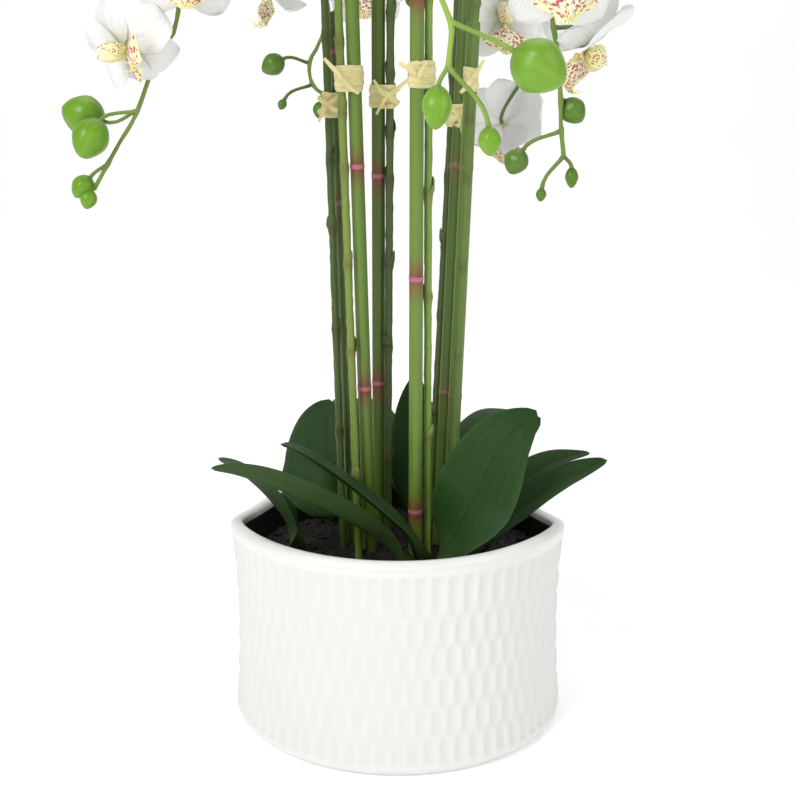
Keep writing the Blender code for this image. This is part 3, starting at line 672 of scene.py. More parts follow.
class Finish:
    """A material in the making, with short ways to reach its usual nodes."""

    def __init__(self, name, roughness, **constants):
        self.material = bpy.data.materials.new(name)
        self.material.use_nodes = True
        self.tree = self.material.node_tree
        self.shader = self.tree.nodes["Principled BSDF"]
        self.shader.inputs["Roughness"].default_value = roughness
        for key, value in constants.items():
            self.shader.inputs[key.replace("_", " ")].default_value = value
        self.place = add_node(self.tree, "ShaderNodeTexCoord").outputs["Object"]

    def value(self, name):
        return add_node(self.tree, "ShaderNodeAttribute", attribute_name=name).outputs["Fac"]

    def noise(self, scale, detail=3.0, place=None, stretch=None):
        place = place or self.place
        if stretch:
            inputs = {"Vector": place, "Scale": stretch}
            place = add_node(self.tree, "ShaderNodeMapping", inputs).outputs[0]
        inputs = {"Vector": place, "Scale": scale, "Detail": detail}
        return add_node(self.tree, "ShaderNodeTexNoise", inputs).outputs["Fac"]

    def mix(self, share, first, second):
        colours = {"Fac": share, "Color1": first, "Color2": second}
        for key in ("Color1", "Color2"):
            if not isinstance(colours[key], bpy.types.NodeSocket):
                colours[key] = (*colours[key][:3], 1)
        return add_node(self.tree, "ShaderNodeMixRGB", colours).outputs[0]

    def times(self, first, second):
        return maths(self.tree, "MULTIPLY", first, second)

    def stepped(self, *values):
        return stepped(self.tree, *values)

    def grid(self, x, y, z=0.0):
        """A place made of three values, for a pattern that follows the surface."""
        return add_node(self.tree, "ShaderNodeCombineXYZ", {0: x, 1: y, 2: z}).outputs[0]

    def soft(self, *reach):
        """Lets light through the surface: how far its red, green and blue go."""
        self.shader.inputs["Subsurface Radius"].default_value = reach
        self.shader.inputs["Subsurface Scale"].default_value = 1.0

    def colour(self, socket):
        self.tree.links.new(socket, self.shader.inputs["Base Color"])

    def rough(self, socket):
        self.tree.links.new(socket, self.shader.inputs["Roughness"])

    def bump(self, height, distance, strength=1.0):
        inputs = {"Height": height, "Distance": distance, "Strength": strength}
        made = add_node(self.tree, "ShaderNodeBump", inputs)
        self.tree.links.new(made.outputs[0], self.shader.inputs["Normal"])


def geometry_tree(name, sockets):
    """A Geometry Nodes tree with named inputs, its input node and its output node."""
    tree = bpy.data.node_groups.new(name, "GeometryNodeTree")
    tree.interface.new_socket("Geometry", in_out="OUTPUT", socket_type="NodeSocketGeometry")
    tree.interface.new_socket("Geometry", in_out="INPUT", socket_type="NodeSocketGeometry")
    for socket_name, kind in sockets:
        tree.interface.new_socket(socket_name, in_out="INPUT", socket_type="NodeSocket" + kind)
    return tree, tree.nodes.new("NodeGroupInput"), tree.nodes.new("NodeGroupOutput")


def grow(obj, tree, **inputs):
    """Runs the tree on the object with these inputs and keeps the result as a plain mesh."""
    modifier = obj.modifiers.new(tree.name, "NODES")
    modifier.node_group = tree
    wanted = {key.replace("_", " ").lower(): value for key, value in inputs.items()}
    for item in tree.interface.items_tree:
        if item.in_out == "INPUT" and item.name.lower() in wanted:
            modifier[item.identifier] = wanted[item.name.lower()]
    return plain_mesh(obj)


# --- Pot ------------------------------------------------------------------------------
CARVED_COLUMNS = 6  # columns of corners to one carved facet
CARVED_ROWS = 92
CUT_HALF_WIDTH = 0.55  # how far a cut reaches each way, as a share of its facet
CUT_HALF_HEIGHT = 0.80
DARK_INSIDE = (0.014, 0.013, 0.010)
# The heights of the rings of corners down the pot's inner wall.
INNER_HEIGHTS = (0.019, 0.045, POT_WAIST_HEIGHT, 0.080, 0.090, 0.100)
INNER_HEIGHTS += (0.108, 0.116, 0.124, 0.131, 0.136)
WALL_FADE = 0.0045  # the height over which the carving fades out at both ends


def pot_finish(look):
    """White satin glaze: faintly uneven, with painted shade in the deepest part of each carved cut.
    """
    finish = Finish("pot_glaze", 0.34, Coat_Weight=0.15, Coat_Roughness=0.25)
    cloud = finish.noise(9.0)
    fine = finish.noise(420.0, 2.0)
    pale = finish.mix(cloud, look.glaze, shade(look.glaze, 0.985))
    # The deepest part of each carved cut is painted darker: painted shade.
    cut_shade = finish.stepped(finish.value("carved"), 0.0, 1.0, 0.0, 0.35)
    body = finish.mix(cut_shade, pale, shade(look.glaze, 0.83))
    inside = finish.stepped(finish.value("wall"), -0.8, -0.2, 1.0, 0.0)
    finish.colour(finish.mix(inside, body, DARK_INSIDE))
    finish.bump(fine, 0.00008)
    return finish.material


def carving_tree():
    """Gouged cuts in staggered rows: each point sinks to the deepest of the cuts near it."""
    tree, given, result = geometry_tree(
        "Carved wall",
        (
            ("Facets", "Float"),
            ("Depth", "Float"),
            ("Top", "Float"),
            ("Foot", "Float"),
            ("Top row", "Float"),
            ("Lower rows", "Float"),
            ("Fade", "Float"),
            ("Finish", "Material"),
        ),
    )
    socket = given.outputs
    height, turn, wall = (stored(tree, name) for name in ("level", "turn", "wall"))
    below_top = maths(tree, "SUBTRACT", socket["Top"], height)
    in_top_row = maths(tree, "DIVIDE", below_top, socket["Top row"])
    below_row = maths(tree, "SUBTRACT", below_top, socket["Top row"])
    span = maths(tree, "SUBTRACT", socket["Top"], socket["Foot"])
    span = maths(tree, "SUBTRACT", span, socket["Top row"])
    row_height = maths(tree, "DIVIDE", span, socket["Lower rows"])
    in_rows = maths(tree, "ADD", maths(tree, "DIVIDE", below_row, row_height), 1.0)
    lower = maths(tree, "GREATER_THAN", below_row, 0.0)
    upper = maths(tree, "SUBTRACT", 1.0, lower)
    in_lower = maths(tree, "MULTIPLY", lower, in_rows)
    rows = maths(tree, "ADD", in_lower, maths(tree, "MULTIPLY", upper, in_top_row))
    around = maths(tree, "MULTIPLY", turn, socket["Facets"])
    deepest = 0.0

    def loss(offset, reach, power):
        """How much shallower a cut is this far from its middle."""
        share = maths(tree, "DIVIDE", maths(tree, "ABSOLUTE", offset), reach)
        return maths(tree, "POWER", share, power)

    for step in (-1.0, 0.0, 1.0):
        row = maths(tree, "ADD", maths(tree, "FLOOR", rows), step)
        odd = maths(tree, "MODULO", maths(tree, "ADD", row, 2.0), 2.0)
        shifted = maths(tree, "ADD", around, maths(tree, "MULTIPLY", odd, 0.5))
        across = maths(tree, "SUBTRACT", maths(tree, "FRACT", shifted), 0.5)
        along = maths(tree, "SUBTRACT", maths(tree, "SUBTRACT", rows, row), 0.5)
        shallow = maths(tree, "SUBTRACT", 1.0, loss(across, CUT_HALF_WIDTH, 2.0))
        cut = maths(tree, "SUBTRACT", shallow, loss(along, CUT_HALF_HEIGHT, 4.0))
        inside = maths(tree, "GREATER_THAN", row, -0.5)
        last = maths(tree, "LESS_THAN", row, maths(tree, "ADD", socket["Lower rows"], 0.5))
        cut = maths(tree, "MULTIPLY", cut, maths(tree, "MULTIPLY", inside, last))
        deepest = maths(tree, "MAXIMUM", deepest, cut)
    top_end = maths(tree, "SUBTRACT", socket["Top"], socket["Fade"])
    foot_end = maths(tree, "ADD", socket["Foot"], socket["Fade"])
    fade = maths(
        tree,
        "MULTIPLY",
        stepped(tree, height, socket["Foot"], foot_end),
        stepped(tree, height, top_end, socket["Top"], 1.0, 0.0),
    )
    outer = maths(tree, "MAXIMUM", wall, 0.0)
    cut = maths(tree, "MULTIPLY", maths(tree, "MULTIPLY", deepest, fade), outer)
    sink = maths(tree, "MULTIPLY", maths(tree, "MULTIPLY", cut, socket["Depth"]), -1.0)
    position = add_node(tree, "GeometryNodeInputPosition").outputs[0]
    inputs = {0: position, 1: (1, 1, 0)}
    flat = add_node(tree, "ShaderNodeVectorMath", inputs, operation="MULTIPLY").outputs[0]
    outward = add_node(tree, "ShaderNodeVectorMath", {0: flat}, operation="NORMALIZE").outputs[0]
    move = add_node(
        tree, "ShaderNodeVectorMath", {0: outward, "Scale": sink}, operation="SCALE"
    ).outputs[0]
    inputs = {"Geometry": socket["Geometry"], "Offset": move}
    moved = add_node(tree, "GeometryNodeSetPosition", inputs)
    kept = add_node(
        tree,
        "GeometryNodeStoreNamedAttribute",
        {"Geometry": moved.outputs[0], "Name": "carved", "Value": cut},
        data_type="FLOAT",
        domain="POINT",
    )
    return hand_on(tree, kept.outputs[0], socket["Finish"], result)


def turned_wall(profile, columns):
    """A closed turned shape from (radius, height, on the outer wall) going down the outside."""
    shape = Shape()
    points, level, turn, wall = [], [], [], []
    for radius, height, carved in profile:
        for k in range(columns):
            angle = math.tau * k / columns
            points.append((radius * math.cos(angle), radius * math.sin(angle), height))
            level.append(height)
            turn.append(k / columns)
            wall.append(float(carved))
    points += [(0, 0, profile[0][1]), (0, 0, profile[-1][1])]
    level += [profile[0][1], profile[-1][1]]
    turn += [0.0, 0.0]
    wall += [0.0, 0.0]
    faces = tube_faces(len(profile), columns, downward=True)
    shape.add(points, faces, level=level, turn=turn, wall=wall)
    return shape


def make_pot(look):
    lip = POT_WALL / 2
    profile = [(pot_radius(POT_FLOOR) - 1.5 * POT_WALL, POT_FLOOR, -1)]
    profile += [(pot_radius(z) - POT_WALL, z, -1) for z in INNER_HEIGHTS]
    for angle in range(180, -1, -15):
        turn = math.radians(angle)
        middle = POT_END_RADIUS - lip
        profile.append((middle + lip * math.cos(turn), POT_HEIGHT - lip + lip * math.sin(turn), 0))
    top, foot = POT_HEIGHT - lip - 0.0005, POT_FOOT_ROUNDING - 0.002
    for k in range(CARVED_ROWS + 1):
        z = top + (POT_FOOT_ROUNDING - top) * k / CARVED_ROWS
        profile.append((pot_radius(z), z, 1))
    centre = pot_radius(POT_FOOT_ROUNDING) - POT_FOOT_ROUNDING
    for angle in range(-15, -91, -15):
        turn = math.radians(angle)
        radius = centre + POT_FOOT_ROUNDING * math.cos(turn)
        z = POT_FOOT_ROUNDING * (1 + math.sin(turn))
        profile.append((radius, z, 1 if angle > -30 else 0))
    shape = turned_wall(profile, look.facets * CARVED_COLUMNS)
    wave_foot = POT_HEIGHT - RIM_WAVE_DEPTH
    obj = link("pot_carved", shape.mesh("pot_carved"), ())
    tree = carving_tree()
    grow(
        obj,
        tree,
        Facets=float(look.facets),
        Depth=look.carving,
        Top=POT_HEIGHT - look.lip_band,
        Foot=foot,
        Top_row=look.top_row,
        Lower_rows=float(look.lower_rows),
        Fade=WALL_FADE,
        Finish=pot_finish(look),
    )
    for vertex in obj.data.vertices:
        x, y, z = vertex.co
        share = smooth_step((z - wave_foot) / RIM_WAVE_DEPTH)
        vertex.co.z -= rim_drop(math.degrees(math.atan2(y, x))) * share
    return belongs(obj, "pot_white", "pot")


# --- Soil -----------------------------------------------------------------------------
SOIL_AREA = 0.033  # square metres, about that of the bed


def soil_finish(look):
    """Near-black potting mix, matt, with brown flecks."""
    finish = Finish("potting_mix", 0.95)
    grain = finish.noise(260.0, 5.0)
    patch = finish.noise(45.0, 3.0)
    dark = finish.mix(patch, look.soil, shade(look.soil, 0.45))
    fleck = finish.stepped(grain, 0.60, 0.72)
    finish.colour(finish.mix(fleck, dark, (0.020, 0.014, 0.010)))
    finish.bump(grain, 0.0012)
    return finish.material


def bark_finish():
    finish = Finish("bark_chip", 0.9)
    grain = finish.noise(150.0, 4.0)
    streak = finish.noise(90.0, 3.0, stretch=(1.0, 1.0, 6.0))
    finish.colour(finish.mix(grain, (0.0045, 0.0040, 0.0030), (0.020, 0.013, 0.008)))
    finish.bump(streak, 0.0008)
    return finish.material


def pebble_finish(name, pale, dark):
    finish = Finish(name, 0.85)
    grain = finish.noise(300.0, 4.0)
    patch = finish.noise(60.0, 3.0)
    finish.colour(finish.mix(finish.times(grain, patch), pale, dark))
    finish.bump(grain, 0.0007)
    return finish.material


def scatter_tree():
    """Copies of a chip, strewn over the faces that look up, each turned and sized its own way."""
    tree, given, result = geometry_tree(
        "Strewn chips",
        (
            ("Chip", "Object"),
            ("Density", "Float"),
            ("Seed", "Int"),
            ("Smallest", "Float"),
            ("Largest", "Float"),
            ("Finish", "Material"),
        ),
    )
    socket = given.outputs
    normal = add_node(tree, "GeometryNodeInputNormal").outputs[0]
    up = add_node(tree, "ShaderNodeSeparateXYZ", {0: normal}).outputs[2]
    strewn = add_node(
        tree,
        "GeometryNodeDistributePointsOnFaces",
        {
            "Mesh": socket["Geometry"],
            "Selection": maths(tree, "GREATER_THAN", up, 0.6),
            "Density": socket["Density"],
            "Seed": socket["Seed"],
        },
        distribute_method="RANDOM",
    )
    size = add_node(
        tree,
        "FunctionNodeRandomValue",
        {2: socket["Smallest"], 3: socket["Largest"], "Seed": socket["Seed"]},
        data_type="FLOAT",
    ).outputs[1]
    turn = add_node(
        tree,
        "FunctionNodeRandomValue",
        {0: (-0.6, -0.6, 0.0), 1: (0.6, 0.6, 6.28), "Seed": socket["Seed"]},
        data_type="FLOAT_VECTOR",
    ).outputs[0]
    chip = add_node(tree, "GeometryNodeObjectInfo", {"Object": socket["Chip"]}).outputs["Geometry"]
    copies = add_node(
        tree,
        "GeometryNodeInstanceOnPoints",
        {"Points": strewn.outputs["Points"], "Instance": chip, "Rotation": turn, "Scale": size},
    )
    return hand_on(tree, copies.outputs[0], socket["Finish"], result)


def lump(name, centre, size, turn, seed, rough, finishes):
    """A rounded lump with an uneven skin."""
    bm = bmesh.new()
    bmesh.ops.create_icosphere(bm, subdivisions=4, radius=1)
    for vertex in bm.verts:
        swell = noise.fractal(vertex.co * 1.7 + Vector((seed, 0, 0)), 0.7, 2.2, 4)
        vertex.co *= 1 + rough * swell
    bmesh.ops.scale(bm, vec=size, verts=bm.verts)
    bm.transform(Matrix.Translation(centre) @ Matrix.Rotation(math.radians(turn), 4, "Z"))
    mesh = bpy.data.meshes.new(name)
    bm.to_mesh(mesh)
    bm.free()
    mesh.shade_smooth()
    return link(name, mesh, finishes)


def make_soil(look):
    columns, rings, side = 120, 44, 0.014
    reach = pot_radius(POT_HEIGHT - SOIL_BELOW_RIM) - POT_WALL - 0.0004
    low = soil_height(reach, 0) - side
    points = []
    for i in range(1, rings + 1):
        for k in range(columns):
            angle, radius = math.tau * k / columns, reach * i / rings
            x, y = radius * math.cos(angle), radius * math.sin(angle)
            rough = noise.fractal(Vector((x, y, 0.3)) * 70, 0.8, 2.1, 5)
            points.append((x, y, soil_height(x, y) + 0.0028 * rough))
    for k in range(columns):
        angle = math.tau * k / columns
        points.append((reach * math.cos(angle), reach * math.sin(angle), low))
    points += [(0, 0, soil_height(0, 0)), (0, 0, low)]
    shape = Shape()
    shape.add(points, tube_faces(rings + 1, columns, downward=True))
    bed = belongs(link("soil_bed", shape.mesh("soil_bed"), (soil_finish(look),)), "soil", "soil")
    bm = bmesh.new()
    bmesh.ops.create_icosphere(bm, subdivisions=1, radius=1)
    draw = random.Random(5)
    for vertex in bm.verts:
        vertex.co *= draw.uniform(0.75, 1.15)
    bmesh.ops.scale(bm, vec=(1.0, 0.55, 0.28), verts=bm.verts)
    chip_mesh = bpy.data.meshes.new("chip")
    bm.to_mesh(chip_mesh)
    bm.free()
    chip = link("chip", chip_mesh, ())
    chips = link("bark_chips", bed.data.copy(), ())
    grow(
        chips,
        scatter_tree(),
        Chip=chip,
        Density=look.chips / SOIL_AREA,
        Seed=7,
        Smallest=0.0018,
        Largest=0.0052,
        Finish=bark_finish(),
    )
    chips.data.shade_flat()
    bpy.data.objects.remove(chip, do_unlink=True)
    belongs(chips, "soil")
    grey = pebble_finish("grey_moss", (0.34, 0.31, 0.28), (0.16, 0.145, 0.13))
    tan = pebble_finish("tan_chip", (0.36, 0.26, 0.16), (0.16, 0.10, 0.06))
    for name, centre, size, turn, seed, rough, finish in (
        ("moss_lump", (-0.086, -0.026, 0.1055), (0.011, 0.009, 0.0065), 20, 1.0, 0.12, grey),
        ("moss_lump_small", (-0.076, -0.042, 0.1055), (0.007, 0.006, 0.004), 60, 4.0, 0.12, grey),
        ("pale_chip", (-0.014, 0.014, 0.112), (0.004, 0.0025, 0.003), 30, 8.0, 0.25, tan),
    ):
        belongs(lump(name, Vector(centre), size, turn, seed, rough, (finish,)), "soil")


# --- Canes ----------------------------------------------------------------------------
CANE_FACETS = 20
RING_HALF = 0.0011  # half the height of a painted ring
RING_LEVELS = (-0.0030, -0.0016, -RING_HALF, -0.0007, 0, 0.0007, RING_HALF, 0.0016, 0.0030)
RING_PINK = (0.46, 0.13, 0.20)
RING_BROWN = (0.185, 0.045, 0.026)
BURIED = 0.4  # how much of the hidden depth of a stem is drawn
CANE_STEPS = 90
CLOSEST_LEVELS = 0.0003
FADE_REACH = 0.013  # how far the brown tint runs each way from a ring


def cane_finish(name, green):
    """Smooth moulded green cane with pink rings that fade out through brown."""
    finish = Finish(name, 0.38)
    tone = finish.noise(26.0, 3.0, stretch=(1.0, 1.0, 0.12))
    fibre = finish.noise(900.0, 3.0, stretch=(1.0, 1.0, 0.012))
    body = finish.mix(tone, shade(green, 0.80), shade(green, 1.18))
    body = finish.mix(finish.times(fibre, 0.35), body, shade(green, 1.7))
    grain = finish.stepped(finish.noise(300.0, 3.0, stretch=(1.0, 1.0, 0.2)), 0.25, 0.65, 0.65, 1.0)
    tint = finish.times(finish.value("fade"), grain)
    body = finish.mix(tint, body, RING_BROWN)
    finish.colour(finish.mix(finish.value("ring"), body, RING_PINK))
    finish.bump(fibre, 0.00012)
    return finish.material


def make_cane(name, finish):
    foot, tie_place, height = CANES[name]
    rings, strength = CANE_RINGS[name]
    low = soil_height(*foot) - STEM_DEPTH * BURIED
    high = base_level() + height
    levels = [low + (high - low) * k / CANE_STEPS for k in range(CANE_STEPS + 1)]
    for ring in rings:
        levels += [ring + away for away in RING_LEVELS]
    levels = sorted(z for z in levels if low <= z <= high)
    spaced = [levels[0]]
    for z in levels[1:]:
        if z - spaced[-1] > CLOSEST_LEVELS:
            spaced.append(z)
    points, radii, ringed, faded = [], [], [], []
    for z in spaced:
        near = min(abs(z - ring) for ring in rings)
        share = (z - low) / (high - low)
        points.append(on_line(foot, tie_place, z - base_level()))
        swell = 0.00035 * math.exp(-((near / 0.0016) ** 2))
        radii.append(CANE_RADIUS + (CANE_TOP_RADIUS - CANE_RADIUS) * share + swell)
        ringed.append(strength * (1.0 if near <= RING_HALF + 1e-6 else 0.0))
        faded.append(strength * math.exp(-((near / FADE_REACH) ** 2) * 1.6))
    shape = Shape()
    sweep(shape, points, radii, CANE_FACETS, ring=ringed, fade=faded)
    obj = link(name + "_painted", shape.mesh(name), (finish,))
    return belongs(obj, "cane", name)


def make_canes(look):
    light = cane_finish("cane_light", look.cane)
    # The three back canes get a darker copy of the cane colour: painted shade.
    dark = cane_finish("cane_shaded_back", shade(look.cane, 0.62))
    for name in CANES:
        make_cane(name, light if name in ("cane_left", "cane_front", "cane_right") else dark)


# --- Flower sprays --------------------------------------------------------------------
STEM_FACETS = 14
STALK_FACETS = 8
JOINT_SWELL = 0.0007
STALK_SHARE = 6  # fewest steps along a stalk
STEM_STEP = 0.005  # spacing of the rings along a bent stem or a stalk
STRAIGHT_STEPS = 110
BUD_SEAM = (0.50, 0.62, 0.16)
BUD_SHRINK = 0.985  # keeps a fluted bud within its solid


def stem_finish(name, green, young=(0.155, 0.235, 0.030)):
    """Green moulded stem: mottled, with paler lengthwise streaks and darker joints."""
    finish = Finish(name, 0.46)
    mottle = finish.noise(110.0, 3.0, stretch=(1.0, 1.0, 0.35))
    fibre = finish.noise(700.0, 3.0, stretch=(1.0, 1.0, 0.03))
    body = finish.mix(mottle, shade(green, 0.72), shade(green, 1.25))
    body = finish.mix(finish.times(fibre, 0.4), body, shade(green, 1.6))
    joint = finish.times(finish.value("joint"), 0.75)
    body = finish.mix(joint, body, [green[0] * 0.95, green[1] * 0.55, green[2] * 0.7])
    tip = finish.value("tip")
    finish.colour(finish.mix(finish.times(tip, 0.8), body, young))
    finish.bump(mottle, 0.0004)
    return finish.material


def bud_finish(name, green, seams=0.06):
    """Waxy bud, brighter at the tip, with paler seams between its folded sepals."""
    finish = Finish(name, 0.36, Coat_Weight=0.1, Coat_Roughness=0.3, Specular_IOR_Level=0.35)
    cloud = finish.noise(70.0, 3.0)
    body = finish.mix(cloud, shade(green, 0.82), shade(green, 1.15))
    along = finish.value("along")
    body = finish.mix(finish.stepped(along, 0.0, 0.45, 0.75, 0.0), body, shade(green, 0.42))
    seam = finish.times(finish.value("seam"), seams)
    finish.colour(finish.mix(seam, body, BUD_SEAM))
    finish.bump(finish.noise(500.0, 2.0), 0.0001)
    return finish.material


def bract_tree():
    """A copy of the bract at every point, turned and sized by the point's own values."""
    tree, given, result = geometry_tree(
        "Bracts along a stem", (("Bract", "Object"), ("Size", "Float"), ("Finish", "Material"))
    )
    socket = given.outputs
    turn, size = stored(tree, "turn", "FLOAT_VECTOR"), stored(tree, "size")
    inputs = {"Object": socket["Bract"]}
    bract = add_node(tree, "GeometryNodeObjectInfo", inputs).outputs["Geometry"]
    dots = add_node(tree, "GeometryNodeMeshToPoints", {"Mesh": socket["Geometry"]})
    copies = add_node(
        tree,
        "GeometryNodeInstanceOnPoints",
        {
            "Points": dots.outputs[0],
            "Instance": bract,
            "Rotation": turn,
            "Scale": maths(tree, "MULTIPLY", size, socket["Size"]),
        },
    )
    return hand_on(tree, copies.outputs[0], socket["Finish"], result)


def bract_model():
    """One pointed bract, 1 unit tall, that hugs a stem of 0.3 units' radius at the origin."""
    rows, joint = [], []
    for i in range(6):
        share = i / 6
        spread = math.radians(125) * (1 - share) ** 0.8
        radius = 0.300 + 0.035 * math.sin(math.pi * share) + 0.015 * share**2
        row = []
        for k in range(7):
            angle = spread * (k / 3 - 1)
            out = Vector((math.cos(angle), math.sin(angle), 0))
            row.append((out * radius + UP * share, out))
        rows.append(row)
        joint.append([max(0.0, 0.9 - 1.6 * share)] * 7)
    shape = Shape()
    thickness = [0.10] * 7
    two_sided(shape, rows, thickness, tip=Vector((0.315, 0, 1.0)), columns={"joint": joint})
    return link("bract", shape.mesh("bract"), ())


def egg_points(centre, axis, length, width, seed):
    """The skin of a closed bud: three folded sepals that meet in seams, and a blunt point."""
    draw = random.Random(seed)
    turn = axis.to_track_quat("Z", "Y").to_matrix() @ Matrix.Rotation(draw.uniform(0, 2), 3, "Z")
    rings, sides = 15, 30
    points, along, seam = [], [], []
    for i in range(1, rings):
        share = i / rings
        polar = math.pi * share
        up = -math.cos(polar)
        for k in range(sides):
            angle = math.tau * k / sides
            fold = abs(math.sin(1.5 * angle))
            crease = max(0.0, 1 - fold * 5.0)
            flute = 1 - 0.075 * crease * math.sin(polar) + 0.02 * math.cos(3 * angle + 2.0)
            narrow = 1 - BUD_NARROWING * max(up, 0) - 0.05 * max(-up, 0)
            radius = math.sin(polar) * narrow * flute * width / 2
            point = Vector((radius * math.cos(angle), radius * math.sin(angle), up * length / 2))
            points.append(centre + turn @ point)
            along.append(share)
            seam.append(crease * (0.3 + 0.7 * math.sin(polar)))
    points += [centre - axis * length / 2, centre + axis * length * 0.515]
    along += [0.0, 1.0]
    seam += [0.0, 0.0]
    return points, tube_faces(rings - 1, sides), {"along": along, "seam": seam}


def bent_stalk(shape, start, end, arrive, thick, tip):
    reach = (end - start).length
    a = start + (end - start).normalized() * reach * STALK_LEAVE
    b = end - arrive * reach * STALK_ARRIVE
    points, radii, tips = [], [], []
    count = max(STALK_SHARE, round(reach / STEM_STEP))
    for k in range(count + 1):
        t, s = k / count, 1 - k / count
        points.append(start * s**3 + a * 3 * t * s * s + b * 3 * t * t * s + end * t**3)
        radii.append(thick * (1 + 0.35 * math.exp(-t * 9) + 0.30 * math.exp(-s * 9)))
        tips.append(tip * t)
    sweep(shape, points, radii, STALK_FACETS, lump=0.0001, tip=tips)


def stem_path(spec):
    foot, tie_place = spec["foot"], spec["tie"]
    start = on_line(foot, tie_place, ARCH_RISE)
    before = on_line(foot, tie_place, ARCH_RISE - ARCH_LEAD)
    return Path([start, *map(above_arch_level, spec["arch"])], before)


def make_spray(name, look, finishes, tree, bract):
    spec = SPRAYS[name]
    foot, tie_place = spec["foot"], spec["tie"]
    path = stem_path(spec)
    low = soil_height(*foot) - STEM_DEPTH * BURIED - base_level()
    count = STRAIGHT_STEPS
    straight = [on_line(foot, tie_place, low + (ARCH_RISE - low) * k / count) for k in range(count)]
    bent = path.spaced(STEM_STEP)
    points = straight + bent
    joints = [on_line(foot, tie_place, rise) for rise in STEM_JOINTS[name]]
    joints += [path.at(bloom[0]) for bloom in spec["blooms"]]
    joints += [path.at(bud[0]) for bud in spec["buds"]]
    radii, jointed, tips = [], [], []
    for k, point in enumerate(points):
        bend = max(0.0, (k - count) / (len(bent) - 1))
        near = min((point - joint).length for joint in joints)
        swell = math.exp(-((near / 0.0035) ** 2))
        body = STEM_RADIUS + (TIP_RADIUS - STEM_RADIUS) * bend
        radii.append(body * 0.94 + JOINT_SWELL * (1 - 0.5 * bend) * swell)
        jointed.append(swell * (1 - bend))
        tips.append(bend)
    shape = Shape()
    sweep(shape, points, radii, STEM_FACETS, lump=0.00035, joint=jointed, tip=tips)

    def nearest(place):
        return min(bent, key=lambda point: (point - path.at(place)).length)

    for place, centre, azimuth, rise, roll, _ in spec["blooms"]:
        centre, face = above_arch_level(centre), head_turn(azimuth, rise, roll).col[2].to_3d()
        bent_stalk(shape, nearest(place), centre - face * 0.004, face, STALK_RADIUS, 0.9)
    buds = Shape()
    for number, (place, centre, azimuth, rise, length, width) in enumerate(spec["buds"]):
        centre, axis = above_arch_level(centre), direction(azimuth, rise)
        end = centre - axis * length * 0.42
        bent_stalk(shape, nearest(place), end, axis, STALK_RADIUS * 0.9, 0.6)
        size = (length * BUD_SHRINK, width * BUD_SHRINK)
        points, faces, values = egg_points(centre, axis, *size, number + len(name))
        buds.add(points, faces, 0, **values)
    belongs(link(name + "_stem", shape.mesh(name), (finishes[0],)), "stem", name)
    belongs(link(name + "_buds", buds.mesh(name + "_buds"), (finishes[1],)), "stem")
    draw = random.Random(len(name) * 7 + len(joints))
    dots = bpy.data.meshes.new("bract_points")
    heights = STEM_JOINTS[name]
    dots.from_pydata([on_line(foot, tie_place, rise) for rise in heights], [], [])
    lean = on_line(foot, tie_place, 0.3) - on_line(foot, tie_place, 0.0)
    turns = []
    for k in range(len(heights)):
        side = Matrix.Rotation(math.radians(270 + 110 * (-1) ** k + draw.uniform(-40, 40)), 3, "Z")
        turns += list((lean.to_track_quat("Z", "Y").to_matrix() @ side).to_euler())
    dots.attributes.new("turn", "FLOAT_VECTOR", "POINT").data.foreach_set("vector", turns)
    sizes = [draw.uniform(0.85, 1.2) for _ in heights]
    dots.attributes.new("size", "FLOAT", "POINT").data.foreach_set("value", sizes)
    sheaths = link(name + "_bracts", dots, ())
    grow(sheaths, tree, Bract=bract, Size=look.bract, Finish=finishes[0])
    belongs(sheaths, "stem")


def make_sprays(look):
    tree, bract = bract_tree(), bract_model()
    mid = stem_finish("stem_green", look.stem)
    light = stem_finish("stem_light", [look.stem[0] * 1.5, look.stem[1] * 1.3, look.stem[2] * 1.2])
    yellow = stem_finish("stem_yellow", shade(look.stem, 1.7), (0.31, 0.44, 0.060))
    # The three back sprays' stems get a darker copy of the stem colour: painted shade.
    dark = stem_finish("stem_shaded_back", shade(look.stem, 0.55))
    bud = bud_finish("bud_green", look.bud)
    pale = bud_finish("bud_pale", [look.bud[0] * 1.25, look.bud[1] * 1.15, look.bud[2] * 2], 0.10)
    dull = bud_finish("bud_olive", [look.bud[0] * 0.62, look.bud[1] * 0.60, look.bud[2] * 1.2])
    tones = {
        "spray_left": (light, bud),
        "spray_left_back": (dark, dull),
        "spray_front": (yellow, pale),
        "spray_right": (mid, dull),
        "spray_right_back": (dark, dull),
        "spray_back": (dark, dull),
    }
    for name in SPRAYS:
        make_spray(name, look, tones[name], tree, bract)
    bpy.data.objects.remove(bract, do_unlink=True)


# --- Ties -----------------------------------------------------------------------------
WRAPS = 5
WRAP_STEPS = 44
# Each tail: the side it leaves from, how far it goes across, back and up, its curl and its width.
TAILS = {
    "tie_left": ((-0.011, -0.003, 0.012), (0.010, -0.004, -0.008)),
    "tie_left_back": ((-0.006, -0.004, -0.010), (0.011, -0.004, -0.004)),
    "tie_middle": ((0.014, -0.004, 0.012), (-0.009, -0.004, 0.010), (-0.008, -0.004, -0.011)),
    "tie_front": ((-0.011, -0.003, 0.007), (0.006, -0.003, 0.008)),
    "tie_right": ((0.007, -0.003, 0.012), (-0.007, -0.003, -0.008)),
    "tie_right_back": ((0.009, -0.003, 0.010), (0.002, -0.004, -0.012)),
}
# The ties that have two strands crossing in front.
CROSSED_TIES = ("tie_left_back", "tie_middle", "tie_right_back")
STRAND_THICKNESS = 0.0006
STRAND_WIDTHS = (0.0036, 0.0048)
TAIL_WIDTHS = (0.0026, 0.0036)


